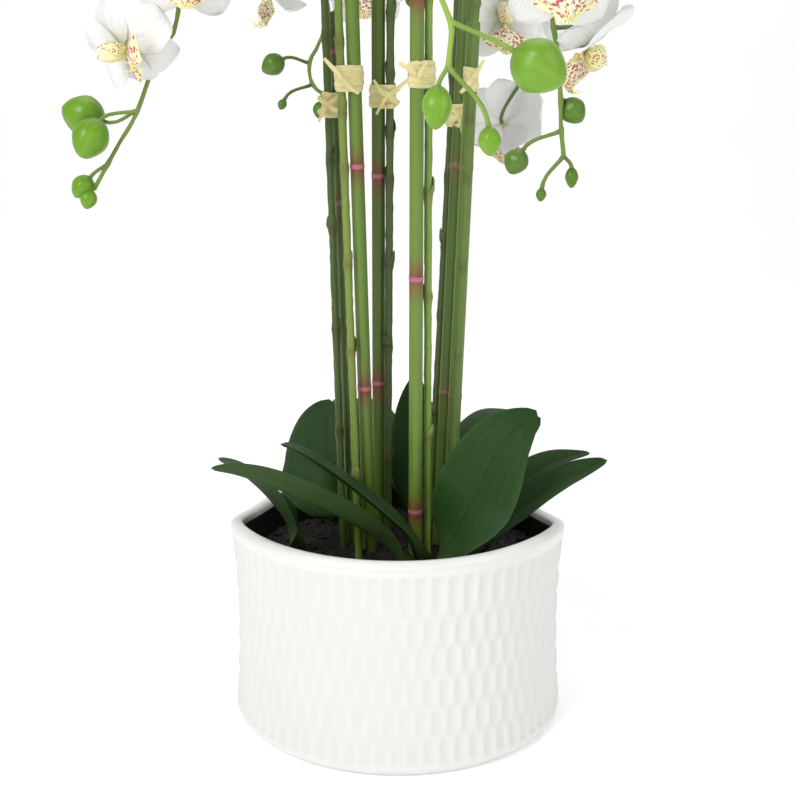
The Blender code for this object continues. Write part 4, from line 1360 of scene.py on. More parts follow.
def raffia_finish(look):
    """Pale straw raffia: dry lengthwise fibres, each strand its own tone."""
    finish = Finish("raffia_straw", 0.72)
    along = finish.value("run")
    across = finish.value("across")
    grid = finish.grid(finish.times(along, 60.0), across)
    fibre = finish.noise(5.0, 4.0, place=grid, stretch=(0.5, 5.0, 1.0))
    strand = finish.value("strand")
    aged = [c * share for c, share in zip(look.raffia, (0.92, 0.87, 0.74))]
    body = finish.mix(strand, look.raffia, aged)
    finish.colour(finish.mix(finish.times(fibre, 0.6), body, shade(look.raffia, 0.62)))
    finish.bump(fibre, 0.0003)
    return finish.material


def ribbon(shape, points, outs, width, thickness, strand):
    """A flat strand along the points. outs are the directions that its broad side faces."""
    rows, runs, lengths = [], [], 0.0
    count = len(points)
    across = (-1, -0.5, 0, 0.5, 1)
    for i, (point, out) in enumerate(zip(points, outs)):
        ahead = (points[min(i + 1, count - 1)] - points[max(i - 1, 0)]).normalized()
        side = ahead.cross(out).normalized()
        if i:
            lengths += (point - points[i - 1]).length
        narrow = 1 - 0.15 * max(0, (i - count + 5) / 5)
        row = []
        for k in across:
            crown = -0.12 * width * k * k
            row.append((point + side * (k * width / 2 * narrow) + out * crown, out))
        rows.append(row)
        runs.append([lengths] * 5)
    columns = {"run": runs, "across": [list(across)] * count, "strand": [[strand] * 5] * count}
    thick = [thickness * (1 - 0.5 * k * k) for k in across]
    two_sided(shape, rows, thick, columns=columns)


def make_tie(name, finish, seed):
    """Several flat strands wound round the cane and its stem, a crossing knot and loose tails."""
    cane_name, spray_name, height = TIES[name]
    lines = (CANES[cane_name][:2], (SPRAYS[spray_name]["foot"], SPRAYS[spray_name]["tie"]))
    first, second = (on_line(*line, height) for line in lines)
    gap = (second - first).to_2d()
    facing = math.atan2(gap.y, gap.x)
    middle = (first + second) / 2
    draw = random.Random(seed)
    shape = Shape()
    spread = gap.length

    def outline(turn, grow):
        """A place on a band stretched round the two, and the way it faces there."""
        angle = math.tau * turn
        out = Vector((math.cos(angle + facing), math.sin(angle + facing), 0))
        lean = math.cos(angle)
        radius = (CANE_RADIUS + (STEM_RADIUS - CANE_RADIUS) * (0.5 + 0.5 * lean)) + grow
        along = Vector((math.cos(facing), math.sin(facing), 0))
        reach = along * (spread / 2) * math.tanh(2.4 * lean)
        return out * radius + reach, out

    for wrap in range(WRAPS):
        level = (wrap / (WRAPS - 1) - 0.5) * (TIE_WIDTH - 0.0030)
        tilt, start = draw.uniform(-0.0008, 0.0008), draw.uniform(0, 1)
        rise = draw.uniform(-0.0007, 0.0007)
        grow = 0.0008 + 0.0005 * draw.random() + 0.0004 * (wrap % 2)
        points, outs = [], []
        for k in range(WRAP_STEPS + 4):
            turn = start + k / WRAP_STEPS
            flat, out = outline(turn, grow + 0.0002 * math.sin(9 * turn))
            sway = tilt * math.sin(math.tau * turn) + rise * k / WRAP_STEPS
            points.append(middle + flat + UP * (level + sway))
            outs.append(out)
        width = draw.uniform(*STRAND_WIDTHS)
        ribbon(shape, points, outs, width, STRAND_THICKNESS, draw.random())
    front = 0.75 - facing / math.tau  # the turn at which the outline faces the front
    flat, out = outline(front, 0.0022)
    knot = middle + flat
    side = out.cross(UP).normalized()
    for sign in (-1, 1) if name in CROSSED_TIES else ():
        points, outs = [], []
        for k in range(9):
            t = k / 4 - 1
            bulge = 0.0026 * (1 - t * t)
            crossing = knot + side * (t * 0.0065) + UP * (t * 0.0048 * sign)
            points.append(crossing + out * (bulge - 0.0012))
            outs.append((out + side * t * 0.5).normalized())
        ribbon(shape, points, outs, 0.0034, 0.0008, draw.random())
    for k, (x, y, z) in enumerate(TAILS[name]):
        end = knot + Vector((x, y, z))
        bend = knot + Vector((x * 0.35, y * 1.2, z * 0.2 + 0.002 * (-1) ** k))
        points, outs = [], []
        for i in range(13):
            t, s = i / 12, 1 - i / 12
            points.append(knot * s * s + bend * 2 * t * s + end * t * t)
            twisted = out * (1 - 0.4 * t) + side * (0.9 * t * (-1) ** k) + UP * 0.2 * t
            outs.append(twisted.normalized())
        width = draw.uniform(*TAIL_WIDTHS)
        ribbon(shape, points, outs, width, STRAND_THICKNESS, draw.random())
    obj = link(name + "_raffia", shape.mesh(name, 50), (finish,))
    return belongs(obj, "raffia", name)


def make_ties(look):
    finish = raffia_finish(look)
    for seed, name in enumerate(TIES):
        make_tie(name, finish, seed + 3)


# --- Leaves ---------------------------------------------------------------------------
LEAF_STEADY = 0.85  # how far a blade keeps to one broad direction along its length
LEAF_STALK_SWELL = 1.6  # how much a rounded stalk gains on its flat thickness
FOLD_SOFTNESS = 0.012  # how rounded a blade's fold is at the midrib
LEAF_ROWS = 44
LEAF_ACROSS = 17


def leaf_half_width(share, width):
    """Half a leaf's width along its blade: a narrow foot, a broad belly and a blunt tip."""
    belly = math.sin(math.pi * min(max(share, 0.0), 1.0) ** 0.85) ** 0.6
    return max(width / 2 * belly, LEAF_STALK_RADIUS * (1 - smooth_step(share * LEAF_OPENS)))


def leaf_finish(look):
    """Leathery strap leaf: dark above with faint lengthwise veins, paler and matt below."""
    finish = Finish("leaf_leather", 0.46, Specular_IOR_Level=0.2)
    tree = finish.tree
    across, along = finish.value("across"), finish.value("along")
    under, rim = finish.value("under"), finish.value("rim")
    grid = finish.grid(finish.times(across, 9.0), finish.times(along, 0.9), finish.value("own"))
    streak = finish.noise(2.6, 4.0, place=grid)
    vein = finish.noise(9.0, 2.0, place=grid)
    cloud = finish.noise(22.0, 3.0)
    upper = finish.mix(streak, shade(look.leaf, 0.70), shade(look.leaf, 1.45))
    upper = finish.mix(finish.times(cloud, 0.35), upper, shade(look.leaf, 0.55))
    lower = finish.mix(streak, look.leaf_under, shade(look.leaf_under, 0.72))
    foot = finish.stepped(along, 0.02, 0.30, 0.55, 0.0)
    upper = finish.mix(foot, upper, (0.060, 0.100, 0.024))
    both = finish.mix(under, upper, lower)
    midrib = finish.stepped(maths(tree, "ABSOLUTE", across), 0.0, 0.055, 0.5, 0.0)
    both = finish.mix(midrib, both, shade(look.leaf, 0.45))
    finish.colour(finish.mix(finish.times(rim, 0.35), both, (0.050, 0.095, 0.030)))
    dry = finish.stepped(streak, 0.3, 0.7, 0.42, 0.54)
    finish.rough(maths(tree, "ADD", dry, finish.times(under, 0.16)))
    finish.bump(maths(tree, "ADD", vein, finish.times(streak, 0.8)), 0.00035)
    return finish.material


def make_leaf(name, finish, seed):
    foot, midrib, width, roll, fold = LEAVES[name]
    ground = Vector((*foot, soil_height(*foot)))
    rise = (above_base(midrib[0]) - ground).normalized()
    neck = ground + rise * LEAF_NECK
    path = Path([neck, *map(above_base, midrib)])
    spaced = path.even(LEAF_ROWS)
    tip = path.at(len(path.points) - 1)
    chord = (tip - neck).normalized()
    draw = random.Random(seed)
    wave, phase = draw.uniform(0.010, 0.028), draw.uniform(0, 6)
    places = [2 * k / (LEAF_ACROSS - 1) - 1 for k in range(LEAF_ACROSS)]
    rows, alongs, rims = [], [], []
    sections = [(ground - rise * LEAF_DEPTH * 0.5, rise, 0.0)]
    sections += [(p, t, k / (LEAF_ROWS - 1)) for k, (p, t) in enumerate(spaced)][:-1]
    for point, tangent, share in sections:
        opened = smooth_step(share * LEAF_OPENS)
        side = UP.cross(tangent.lerp(chord, LEAF_STEADY))
        side = (side - tangent * side.dot(tangent)).normalized()
        rolled = math.radians(roll) * smooth_step(share * LEAF_OPENS / 2)
        side = Matrix.Rotation(rolled, 3, tangent) @ side
        up = tangent.cross(side)
        half = leaf_half_width(share, width)
        lift = math.tan(math.radians(fold)) * opened
        row = []
        for place in places:
            sharp = math.sqrt(place * place + FOLD_SOFTNESS) - math.sqrt(FOLD_SOFTNESS)
            height = half * lift * (sharp - 0.18 * place**4)
            height += width * wave * opened * place**2 * math.sin(share * 11 + phase + place)
            stalk_round = -(1 - opened) * half * 0.35 * place * place
            slope = lift * place / math.sqrt(place * place + FOLD_SOFTNESS) * 0.8
            normal = (up - side * slope).normalized()
            row.append((point + side * (place * half) + up * (height + stalk_round), normal))
        rows.append(row)
        alongs.append([share] * LEAF_ACROSS)
        rims.append([smooth_step((abs(place) - 0.94) * 16) * opened for place in places])
    thick = [LEAF_THICKNESS * (0.62 + 0.6 * (1 - place**2) ** 2) for place in places]
    columns = {
        "along": alongs,
        "across": [places] * len(rows),
        "rim": rims,
        "own": [[float(seed)] * LEAF_ACROSS] * len(rows),
    }
    stalk = LEAF_STALK_RADIUS * LEAF_STALK_FLAT * LEAF_STALK_SWELL
    swollen = [stalk * (1 - smooth_step(along[0] * LEAF_OPENS)) for along in alongs]
    shape = Shape()
    two_sided(shape, rows, thick, tip=tip, columns=columns, swollen=swollen)
    obj = link(name + "_strap", shape.mesh(name, 75), (finish,))
    return belongs(obj, "leaf", name)


def make_leaves(look):
    finish = leaf_finish(look)
    for seed, name in enumerate(LEAVES):
        make_leaf(name, finish, seed)


# --- Flowers --------------------------------------------------------------------------
# Each petal or sepal: azimuth round the face, its reach and half width as shares of the
# flower's width, how far up its length it is broadest, and its lean forward in degrees.
TEPALS = (
    (232, 0.455, 0.155, 0.50, -4),
    (308, 0.455, 0.155, 0.50, -4),
    (90, 0.475, 0.165, 0.52, -2),
    (162, 0.485, 0.270, 0.58, 5),
    (18, 0.485, 0.270, 0.58, 5),
)
LIP_SCALE = 1.35
FLESH_GLOW = (0.003, 0.002, 0.001)  # how far light goes into a lip, by colour
SMALL_LIPS = {"bloom_right_back_2": 0.55, "bloom_front_5": 1.0, "bloom_left_1": 1.0}
LIP_TURN = {"bloom_left_6": 50}  # degrees that a lip is twisted from its petals
TEPAL_TRIM = 0.053  # taken off each reach, so that a ruffled petal stays within its solid
TEPAL_ROWS = 16
TEPAL_ACROSS = 13
# Flowers that hang, turned half away, or show their backs: how far their petals fold back.
SPENT = {"bloom_left_6": 26, "bloom_right_5": 34, "bloom_right_back_4": 20, "bloom_left_back_4": 22}


def petal_finish(look):
    """Soft white petal: faint veins, a grey-lilac underside that is painted shade, a green-yellow
    heart.
    """
    sheen = {"Sheen_Weight": 0.15, "Sheen_Roughness": 0.5}
    finish = Finish("petal_silk", 0.55, Subsurface_Weight=0.12, **sheen)
    finish.soft(0.004, 0.004, 0.003)
    tree = finish.tree
    along, across = finish.value("along"), finish.value("across")
    spread = maths(tree, "ADD", finish.times(along, 0.35), 0.65)
    fan = maths(tree, "DIVIDE", across, spread)
    grid = finish.grid(finish.times(fan, 7.0), finish.times(along, 0.8), finish.value("own"))
    vein = finish.noise(2.8, 3.0, place=grid)
    body = finish.mix(finish.stepped(vein, 0.35, 0.75), look.petal, shade(look.petal, 0.93))
    # The underside is tinted grey-lilac: painted shade.
    under = finish.times(finish.value("under"), 0.2)
    body = finish.mix(under, body, (0.78, 0.79, 0.81))
    heart = finish.stepped(along, 0.02, 0.17, 0.55, 0.0)
    finish.colour(finish.mix(heart, body, (0.62, 0.70, 0.28)))
    finish.bump(vein, 0.0007)
    return finish.material


def lip_finish(look):
    """The lip: cream, yellow towards its edges, with crimson dots and streaks."""
    finish = Finish("lip_spotted", 0.45, Subsurface_Weight=0.08)
    finish.soft(*FLESH_GLOW)
    tree = finish.tree
    along, across = finish.value("along"), finish.value("across")
    edge = finish.stepped(maths(tree, "ABSOLUTE", across), 0.35, 0.95)
    cream = finish.mix(finish.value("yellow"), (0.86, 0.86, 0.66), look.lip)
    body = finish.mix(finish.times(edge, 0.30), cream, look.lip)
    grid = finish.grid(finish.times(across, 3.1), finish.times(along, 5.5), finish.value("own"))
    inputs = {"Vector": grid, "Scale": 1.9, "Randomness": 0.85}
    cells = add_node(tree, "ShaderNodeTexVoronoi", inputs)
    dots = finish.stepped(cells.outputs["Distance"], 0.32, 0.40, 1.0, 0.0)
    smear = finish.noise(3.0, 4.0, place=grid, stretch=(1.0, 0.55, 1.0))
    streak = finish.stepped(smear, 0.50, 0.60)
    spots = finish.value("spots")
    marks = finish.times(dots, finish.stepped(spots, 0.15, 0.45))
    dense = finish.times(streak, finish.stepped(spots, 0.55, 0.85))
    marks = maths(tree, "MAXIMUM", marks, dense)
    finish.colour(finish.mix(finish.times(marks, 0.9), body, look.spots))
    finish.bump(finish.noise(600.0, 2.0), 0.00012)
    return finish.material


def column_finish():
    finish = Finish("column_cream", 0.4, Subsurface_Weight=0.1)
    finish.soft(*FLESH_GLOW)
    tip = finish.stepped(finish.value("tip"), 0.55, 0.95)
    body = finish.mix(finish.noise(200.0, 2.0), (0.90, 0.88, 0.80), (0.80, 0.76, 0.62))
    finish.colour(finish.mix(tip, body, (0.86, 0.80, 0.30)))
    finish.bump(finish.noise(500.0, 2.0), 0.0001)
    return finish.material


def outline_share(t, broadest, foot, square=2.3):
    """How wide a petal is, as a share of its broadest, at this share of its length."""
    away = (broadest - t) / broadest if t < broadest else (t - broadest) / (1 - broadest)
    body = max(0.0, 1 - abs(away) ** square) ** (1 / 2.0)
    return max(body, foot * (1 - t)) if t < broadest else body


def tepal(shape, spec, width, draw, fold_back, own):
    azimuth, reach, half, broadest, lean = spec
    turn = math.radians(azimuth + draw.uniform(-4, 4))
    outward = Vector((math.cos(turn), math.sin(turn), 0))
    side = Vector((-math.sin(turn), math.cos(turn), 0))
    face = Vector((0, 0, 1))
    tilt = math.radians(lean + draw.uniform(-5, 5) - fold_back * 0.8)
    curl = math.radians(draw.uniform(-32, -8) - fold_back)
    cup = draw.uniform(0.02, 0.16)
    ruffle, waves, phase = draw.uniform(0.020, 0.050), draw.uniform(5, 8), draw.uniform(0, 6)
    twist = math.radians(draw.uniform(-9, 9))
    length = width * (reach - TEPAL_TRIM) * draw.uniform(0.97, 1.0)
    shares = [0.5 - 0.5 * math.cos(math.pi * (i / TEPAL_ROWS) ** 0.9) for i in range(TEPAL_ROWS)]
    places = [math.sin(math.pi / 2 * (2 * k / (TEPAL_ACROSS - 1) - 1)) for k in range(TEPAL_ACROSS)]
    place = outward * width * 0.015
    rows, last = [], 0.0
    for share in shares:
        angle = tilt + curl * share**1.6 + math.radians(14) * math.sin(math.pi * share)
        ahead = outward * math.cos(angle) + face * math.sin(angle)
        up = face * math.cos(angle) - outward * math.sin(angle)
        place = place + ahead * (share - last) * length
        last = share
        wide = width * half * outline_share(share, broadest, 0.16)
        across = side * math.cos(twist * share) + up * math.sin(twist * share)
        row = []
        for k in places:
            lift = wide * cup * (k * k - 0.25) - wide * 0.16 * abs(k) ** 3 * share
            ripple = math.sin(waves * share + phase + 1.3 * k)
            lift += width * ruffle * share * abs(k) ** 2.5 * ripple
            lift -= width * 0.012 * math.exp(-((k / 0.16) ** 2)) * (1 - share)
            row.append((place + across * (wide * k) + up * lift, up))
        rows.append(row)
    angle = tilt + curl
    tip = place + (outward * math.cos(angle) + face * math.sin(angle)) * (1 - last) * length
    thick = [0.0008 * (1.1 - k * k) for k in places]
    columns = {
        "along": [[share] * TEPAL_ACROSS for share in shares],
        "across": [places] * TEPAL_ROWS,
        "own": [[own] * TEPAL_ACROSS] * TEPAL_ROWS,
    }
    two_sided(shape, rows, thick, 0, tip=tip, columns=columns)


def lobe(shape, root, ahead, normal, length, half, profile, bend, cup, columns, own, part=1):
    """One lobe of the lip: a small curled blade whose outline follows the profile."""
    side = ahead.cross(normal).normalized()
    count, wide = len(profile), 9
    places = [2 * k / (wide - 1) - 1 for k in range(wide)]
    rows, place = [], root.copy()
    for i, outline in enumerate(profile):
        angle = bend * i / (count - 1)
        forward = ahead * math.cos(angle) + normal * math.sin(angle)
        up = normal * math.cos(angle) - ahead * math.sin(angle)
        if i:
            place = place + forward * length / count
        row = []
        for k in places:
            row.append((place + side * (half * outline * k) + up * (half * cup * k * k), up))
        rows.append(row)
    tip = place + forward * length / count * 0.6
    grids = {
        "along": [[i / (count - 1)] * wide for i in range(count)],
        "across": [places] * count,
        "own": [[own] * wide] * count,
    }
    for name, given in columns.items():
        grids[name] = [[given(i / (count - 1), k) for k in places] for i in range(count)]
    two_sided(shape, rows, [0.0007] * wide, part, tip=tip, columns=grids)
    return tip, forward, side, up


def lip(shape, width, draw, own):
    """Two upright side lobes, a pointed middle lobe with two curled whiskers, and a callus."""
    base = Vector((0, -0.045 * width, 0.030 * width))
    lobe_profile = (0.42, 0.66, 0.88, 1.0, 1.0, 0.92, 0.78, 0.58, 0.34)
    for sign in (-1, 1):
        ahead = Vector((sign * 0.62, 0.38, 0.68)).normalized()
        normal = Vector((-sign * 0.72, 0.55, 0.30))
        normal = (normal - ahead * normal.dot(ahead)).normalized()
        spots = {
            "spots": lambda t, k: 0.80 - 0.6 * abs(k) - 0.5 * abs(t - 0.45),
            "yellow": lambda t, k: 0.65 - 0.5 * t,
        }
        root = base + Vector((sign * 0.022 * width, 0.004 * width, 0))
        bend = math.radians(62 + draw.uniform(-12, 12))
        size = (0.190 * width, 0.078 * width)
        lobe(shape, root, ahead, normal, *size, lobe_profile, bend, 0.45, spots, own)
    middle_profile = (0.14, 0.20, 0.38, 0.68, 0.94, 1.0, 0.84, 0.56, 0.32, 0.16)
    ahead = Vector((0, -0.50, 0.86)).normalized()
    normal = Vector((0, 0.86, 0.50))
    spots = {
        "spots": lambda t, k: 1.25 - 1.3 * abs(abs(k) - 0.42) - 0.8 * abs(t - 0.48),
        "yellow": lambda t, k: max(0.05, 0.7 - 1.8 * t) + 0.25 * t * abs(k),
    }
    bend = math.radians(-38 + draw.uniform(-10, 10))
    size = (0.245 * width, 0.150 * width)
    tip, forward, side, up = lobe(
        shape, base, ahead, normal, *size, middle_profile, bend, -0.30, spots, own
    )
    for sign in (-1, 1):
        points, radii = [], []
        for k in range(12):
            t = k / 11
            angle = math.radians(250) * t
            reach = 0.024 * width
            across = side * sign * (reach * (1 - math.cos(angle)) * 0.55)
            place = tip - forward * 0.004 + across
            points.append(place + forward * (reach * math.sin(angle)) + up * 0.006 * t)
            radii.append(0.00055 * (1 - 0.65 * t))
        sweep(shape, points, radii, 6, part=1, yellow=1.0, own=own)
    for sign in (-1, 1):
        start = base + Vector((sign * 0.012 * width, 0.012 * width, 0.022 * width))
        callus = [
            start + Vector((0, 0.012 * width * math.sin(1.4 * t), 0.020 * width * t))
            for t in (0, 0.5, 1, 1.5)
        ]
        radii = [0.0016, 0.0021, 0.0018, 0.0010]
        sweep(shape, callus, radii, 8, part=1, yellow=1.0, spots=0.4, own=own, across=0.2)


def column(shape, width):
    points, radii, tips = [], [], []
    for k in range(9):
        t = k / 8
        rise = 0.012 + 0.030 * math.sin(1.5 * t)
        points.append(Vector((0, rise * width, (-0.005 + 0.135 * t) * width)))
        radii.append(width * (0.026 + 0.016 * math.sin(math.pi * t**1.4)))
        tips.append(t)
    radii[-1] *= 0.75
    sweep(shape, points, radii, 14, part=2, tip=tips)


def make_flower(name, spec, finishes, number):
    _, centre, azimuth, rise, roll, width = spec
    draw = random.Random(100 + number)
    shape = Shape()
    own = float(number)
    lip(shape, width * SMALL_LIPS.get(name, LIP_SCALE), draw, own)
    column(shape, width)
    shape.place(Matrix.Rotation(math.radians(LIP_TURN.get(name, 0)), 4, "Z"))
    for petal in TEPALS:
        tepal(shape, petal, width, draw, SPENT.get(name, 0), own)
    turn = Matrix.Translation(above_arch_level(centre)) @ head_turn(azimuth, rise, roll)
    shape.place(turn)
    obj = link(name + "_flower", shape.mesh(name, 70), finishes)
    return belongs(obj, "petal", name)


def make_flowers(look):
    finishes = (petal_finish(look), lip_finish(look), column_finish())
    number = 0
    for name, spec in SPRAYS.items():
        short = name.removeprefix("spray_")
        for k, bloom in enumerate(spec["blooms"], 1):
            make_flower(f"bloom_{short}_{k}", bloom, finishes, number)
            number += 1


# --- Stage ----------------------------------------------------------------------------
CAMERA_PLACE = (0.0015, -0.8908, 0.4494)
CAMERA_DIP = 14.79  # degrees below the horizon
LENS = 63.0
SENSOR = 36.0
FLOOR_HALF = 3.0
SWEEP_START = 1.4  # how far behind the pot the floor starts to curve up
SWEEP_RADIUS = 0.8
BACKDROP_TOP = 3.2
FLOOR_DROP = 0.0003  # keeps the floor just clear of the pot's foot
BACKDROP_GLOW = 0.20
# Each soft light: place, what it looks at, its side and its power.
LIGHTS = (
    ((-1.05, -1.35, 1.40), (0, 0, 0.25), 0.8, 23.0),
    ((1.40, -1.00, 1.10), (0, 0, 0.25), 1.2, 9.0),
    ((0.10, 0.60, 2.20), (0, 0, 0.30), 1.6, 14.0),
    ((0.00, -1.80, 0.35), (0, 0, 0.20), 1.0, 2.0),
)


def backdrop_finish(look):
    finish = Finish("backdrop_white", 0.9)
    cloud = finish.noise(1.5, 2.0)
    finish.colour(finish.mix(cloud, look.backdrop, shade(look.backdrop, 0.985)))
    finish.shader.inputs["Emission Color"].default_value = (1.0, 1.0, 1.0, 1.0)
    finish.shader.inputs["Emission Strength"].default_value = BACKDROP_GLOW
    return finish.material


def make_stage(look):
    points, faces, across = [], [], 24
    run = [(-FLOOR_HALF, 0.0), (0.0, 0.0), (SWEEP_START, 0.0)]
    for degrees in range(15, 91, 15):
        turn = math.radians(degrees)
        y, z = SWEEP_START + SWEEP_RADIUS * math.sin(turn), SWEEP_RADIUS * (1 - math.cos(turn))
        run.append((y, z))
    run.append((SWEEP_START + SWEEP_RADIUS, BACKDROP_TOP))
    for y, z in run:
        for k in range(across + 1):
            points.append((-FLOOR_HALF + 2 * FLOOR_HALF * k / across, y, z - FLOOR_DROP))
    for i in range(len(run) - 1):
        for k in range(across):
            a, b = i * (across + 1) + k, (i + 1) * (across + 1) + k
            faces.append((a, a + 1, b + 1, b))
    shape = Shape()
    shape.add(points, faces)
    link("floor_and_backdrop", shape.mesh("floor_and_backdrop"), (backdrop_finish(look),))
    for number, (place, target, size, power) in enumerate(LIGHTS, 1):
        data = bpy.data.lights.new(f"soft_light_{number}", "AREA")
        data.size = size
        data.energy = power * look.brightness
        lamp = bpy.data.objects.new(f"soft_light_{number}", data)
        lamp.location = place
        lamp.rotation_euler = (Vector(target) - Vector(place)).to_track_quat("-Z", "Y").to_euler()
        bpy.context.scene.collection.objects.link(lamp)
    world = bpy.data.worlds.new("studio_air")
    world.use_nodes = True
    air = world.node_tree.nodes["Background"]
    air.inputs["Color"].default_value = (1.0, 1.0, 1.0, 1.0)
    air.inputs["Strength"].default_value = look.air
    bpy.context.scene.world = world
    bpy.context.scene.view_settings.view_transform = "Standard"
    data = bpy.data.cameras.new("camera")
    data.lens, data.sensor_width = LENS, SENSOR
    data.clip_start, data.clip_end = 0.01, 20.0
    camera = bpy.data.objects.new("camera", data)
    camera.location = CAMERA_PLACE
    camera.rotation_euler = (math.radians(90 - CAMERA_DIP), 0, 0)
    bpy.context.scene.collection.objects.link(camera)
    bpy.context.scene.camera = camera


# --- Settings, operators and panel ----------------------------------------------------
def colour_setting(name, description, default):
    limits = {"size": 3, "min": 0.0, "max": 1.0, "subtype": "COLOR"}
    return FloatVectorProperty(name=name, description=description, default=default, **limits)


def length_setting(name, description, default, low, high):
    limits = {"min": low, "max": high, "precision": 4, "unit": "LENGTH"}
    return FloatProperty(name=name, description=description, default=default, **limits)


class OrchidPotLook(bpy.types.PropertyGroup):
    facets: IntProperty(
        name="Facets", description="Carved facets round the pot", default=68, min=12, max=90
    )
    carving: length_setting(
        "Carving depth", "Depth of each carved facet", 0.0018, 0.0, 0.004
    )
    lip_band: length_setting(
        "Smooth lip", "Height of the plain band under the rim", 0.0085, 0.002, 0.03
    )
    top_row: length_setting(
        "Top row", "Height of the top row of facets", 0.029, 0.01, 0.06
    )
    lower_rows: IntProperty(
        name="Lower rows", description="Rows of facets under the top row", default=5, min=1, max=12
    )
    glaze: colour_setting("Glaze", "Colour of the pot's glaze", (0.765, 0.765, 0.745))


class OrchidSoilLook(bpy.types.PropertyGroup):
    soil: colour_setting("Soil", "Colour of the potting mix", (0.0055, 0.0050, 0.0040))
    chips: FloatProperty(
        name="Bark chips",
        description="About how many bark chips lie on the soil",
        default=900.0,
        min=0.0,
        max=3000.0,
        subtype="UNSIGNED",
    )


class OrchidStemLook(bpy.types.PropertyGroup):
    cane: colour_setting("Cane", "Colour of the support canes", (0.115, 0.195, 0.026))
    stem: colour_setting("Stem", "Colour of the flower stems", (0.100, 0.165, 0.026))
    bud: colour_setting("Bud", "Colour of the flower buds", (0.135, 0.300, 0.010))
    bract: length_setting(
        "Bract height", "Height of the small sheath at each joint of a stem", 0.0092, 0.004, 0.02
    )
    raffia: colour_setting("Raffia", "Colour of the raffia ties", (0.93, 0.85, 0.44))


class OrchidLeafLook(bpy.types.PropertyGroup):
    leaf: colour_setting("Leaf", "Colour of a leaf's upper side", (0.0170, 0.055, 0.0090))
    leaf_under: colour_setting("Underside", "Colour of a leaf's lower side", (0.042, 0.085, 0.020))


class OrchidFlowerLook(bpy.types.PropertyGroup):
    petal: colour_setting("Petal", "Colour of the petals", (0.85, 0.85, 0.83))
    lip: colour_setting("Lip", "Colour of the lip's edges", (0.84, 0.77, 0.16))
    spots: colour_setting("Spots", "Colour of the lip's spots", (0.42, 0.008, 0.060))


class OrchidStageLook(bpy.types.PropertyGroup):
    backdrop: colour_setting("Backdrop", "Colour of the floor and backdrop", (0.93, 0.93, 0.93))
    brightness: FloatProperty(
        name="Lights",
        description="Strength of the soft lights",
        default=1.0,
        min=0.0,
        max=5.0,
        subtype="FACTOR",
    )
    air: FloatProperty(
        name="Air",
        description="Strength of the even light all round",
        default=0.42,
        min=0.0,
        max=3.0,
        subtype="FACTOR",
    )


class OrchidMakePot(bpy.types.Operator):
    """Make the white pot with its carved wall"""

    bl_idname = "orchid.make_pot"
    bl_label = "Pot"

    def execute(self, context):
        make_pot(context.scene.orchid_pot)
        return {"FINISHED"}


class OrchidMakeSoil(bpy.types.Operator):
    """Make the soil, with bark chips and a few pebbles"""

    bl_idname = "orchid.make_soil"
    bl_label = "Soil"

    def execute(self, context):
        make_soil(context.scene.orchid_soil)
        return {"FINISHED"}


class OrchidMakeCanes(bpy.types.Operator):
    """Make the support canes with their painted rings"""

    bl_idname = "orchid.make_canes"
    bl_label = "Canes"

    def execute(self, context):
        make_canes(context.scene.orchid_stems)
        return {"FINISHED"}


class OrchidMakeSprays(bpy.types.Operator):
    """Make the flower stems with their bracts, stalks and buds"""

    bl_idname = "orchid.make_sprays"
    bl_label = "Stems and buds"

    def execute(self, context):
        make_sprays(context.scene.orchid_stems)
        return {"FINISHED"}


class OrchidMakeTies(bpy.types.Operator):
    """Make the raffia ties"""

    bl_idname = "orchid.make_ties"
    bl_label = "Ties"

    def execute(self, context):
        make_ties(context.scene.orchid_stems)
        return {"FINISHED"}


class OrchidMakeLeaves(bpy.types.Operator):
    """Make the strap leaves"""

    bl_idname = "orchid.make_leaves"
    bl_label = "Leaves"

    def execute(self, context):
        make_leaves(context.scene.orchid_leaves)
        return {"FINISHED"}


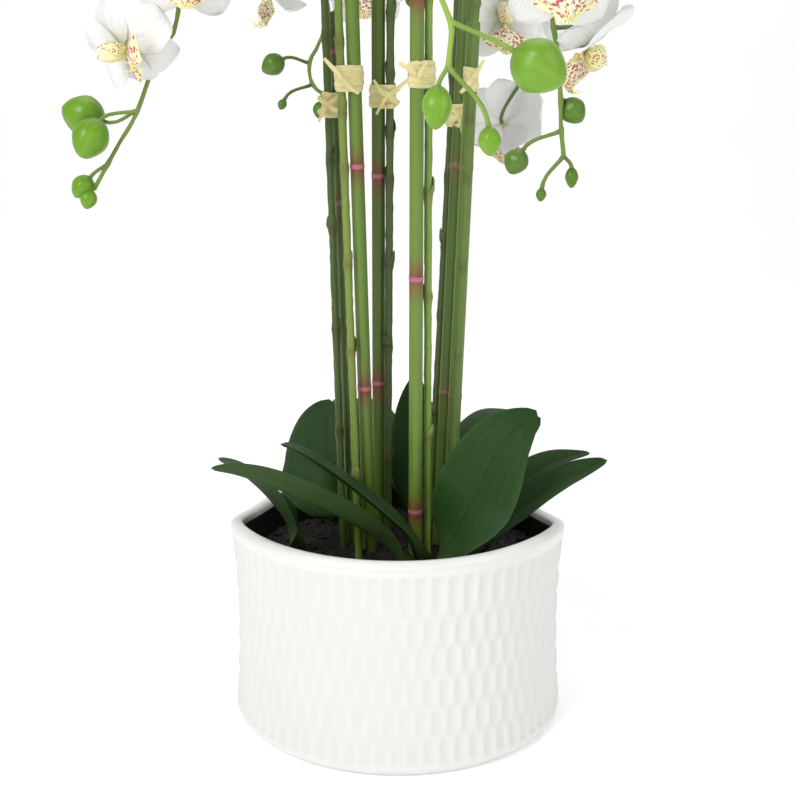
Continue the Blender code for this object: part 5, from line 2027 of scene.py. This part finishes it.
class OrchidMakeFlowers(bpy.types.Operator):
    """Make the open flowers"""

    bl_idname = "orchid.make_flowers"
    bl_label = "Flowers"

    def execute(self, context):
        make_flowers(context.scene.orchid_flowers)
        return {"FINISHED"}


class OrchidMakeStage(bpy.types.Operator):
    """Make the floor, the soft lights and the camera"""

    bl_idname = "orchid.make_stage"
    bl_label = "Stage"

    def execute(self, context):
        make_stage(context.scene.orchid_stage)
        return {"FINISHED"}


LOOKS = {
    "orchid_pot": OrchidPotLook,
    "orchid_soil": OrchidSoilLook,
    "orchid_stems": OrchidStemLook,
    "orchid_leaves": OrchidLeafLook,
    "orchid_flowers": OrchidFlowerLook,
    "orchid_stage": OrchidStageLook,
}
OPERATORS = (
    OrchidMakePot,
    OrchidMakeSoil,
    OrchidMakeCanes,
    OrchidMakeSprays,
    OrchidMakeTies,
    OrchidMakeLeaves,
    OrchidMakeFlowers,
    OrchidMakeStage,
)


class OrchidPanel(bpy.types.Panel):
    bl_idname = "VIEW3D_PT_orchid"
    bl_label = "Potted orchid"
    bl_space_type = "VIEW_3D"
    bl_region_type = "UI"
    bl_category = "Orchid"

    def draw(self, context):
        for name, group in LOOKS.items():
            box = self.layout.box()
            look = getattr(context.scene, name)
            for setting in group.__annotations__:
                box.prop(look, setting)
        for operator in OPERATORS:
            self.layout.operator(operator.bl_idname)


def register():
    for group in (*LOOKS.values(), *OPERATORS, OrchidPanel):
        bpy.utils.register_class(group)
    for name, group in LOOKS.items():
        setattr(bpy.types.Scene, name, PointerProperty(type=group))


def unregister():
    for name in LOOKS:
        delattr(bpy.types.Scene, name)
    for group in (OrchidPanel, *reversed(OPERATORS), *reversed(LOOKS.values())):
        bpy.utils.unregister_class(group)


def main():
    register()
    bpy.ops.orchid.make_pot()
    bpy.ops.orchid.make_soil()
    bpy.ops.orchid.make_canes()
    bpy.ops.orchid.make_sprays()
    bpy.ops.orchid.make_ties()
    bpy.ops.orchid.make_leaves()
    bpy.ops.orchid.make_flowers()
    bpy.ops.orchid.make_stage()


if __name__ == "__main__":
    main()
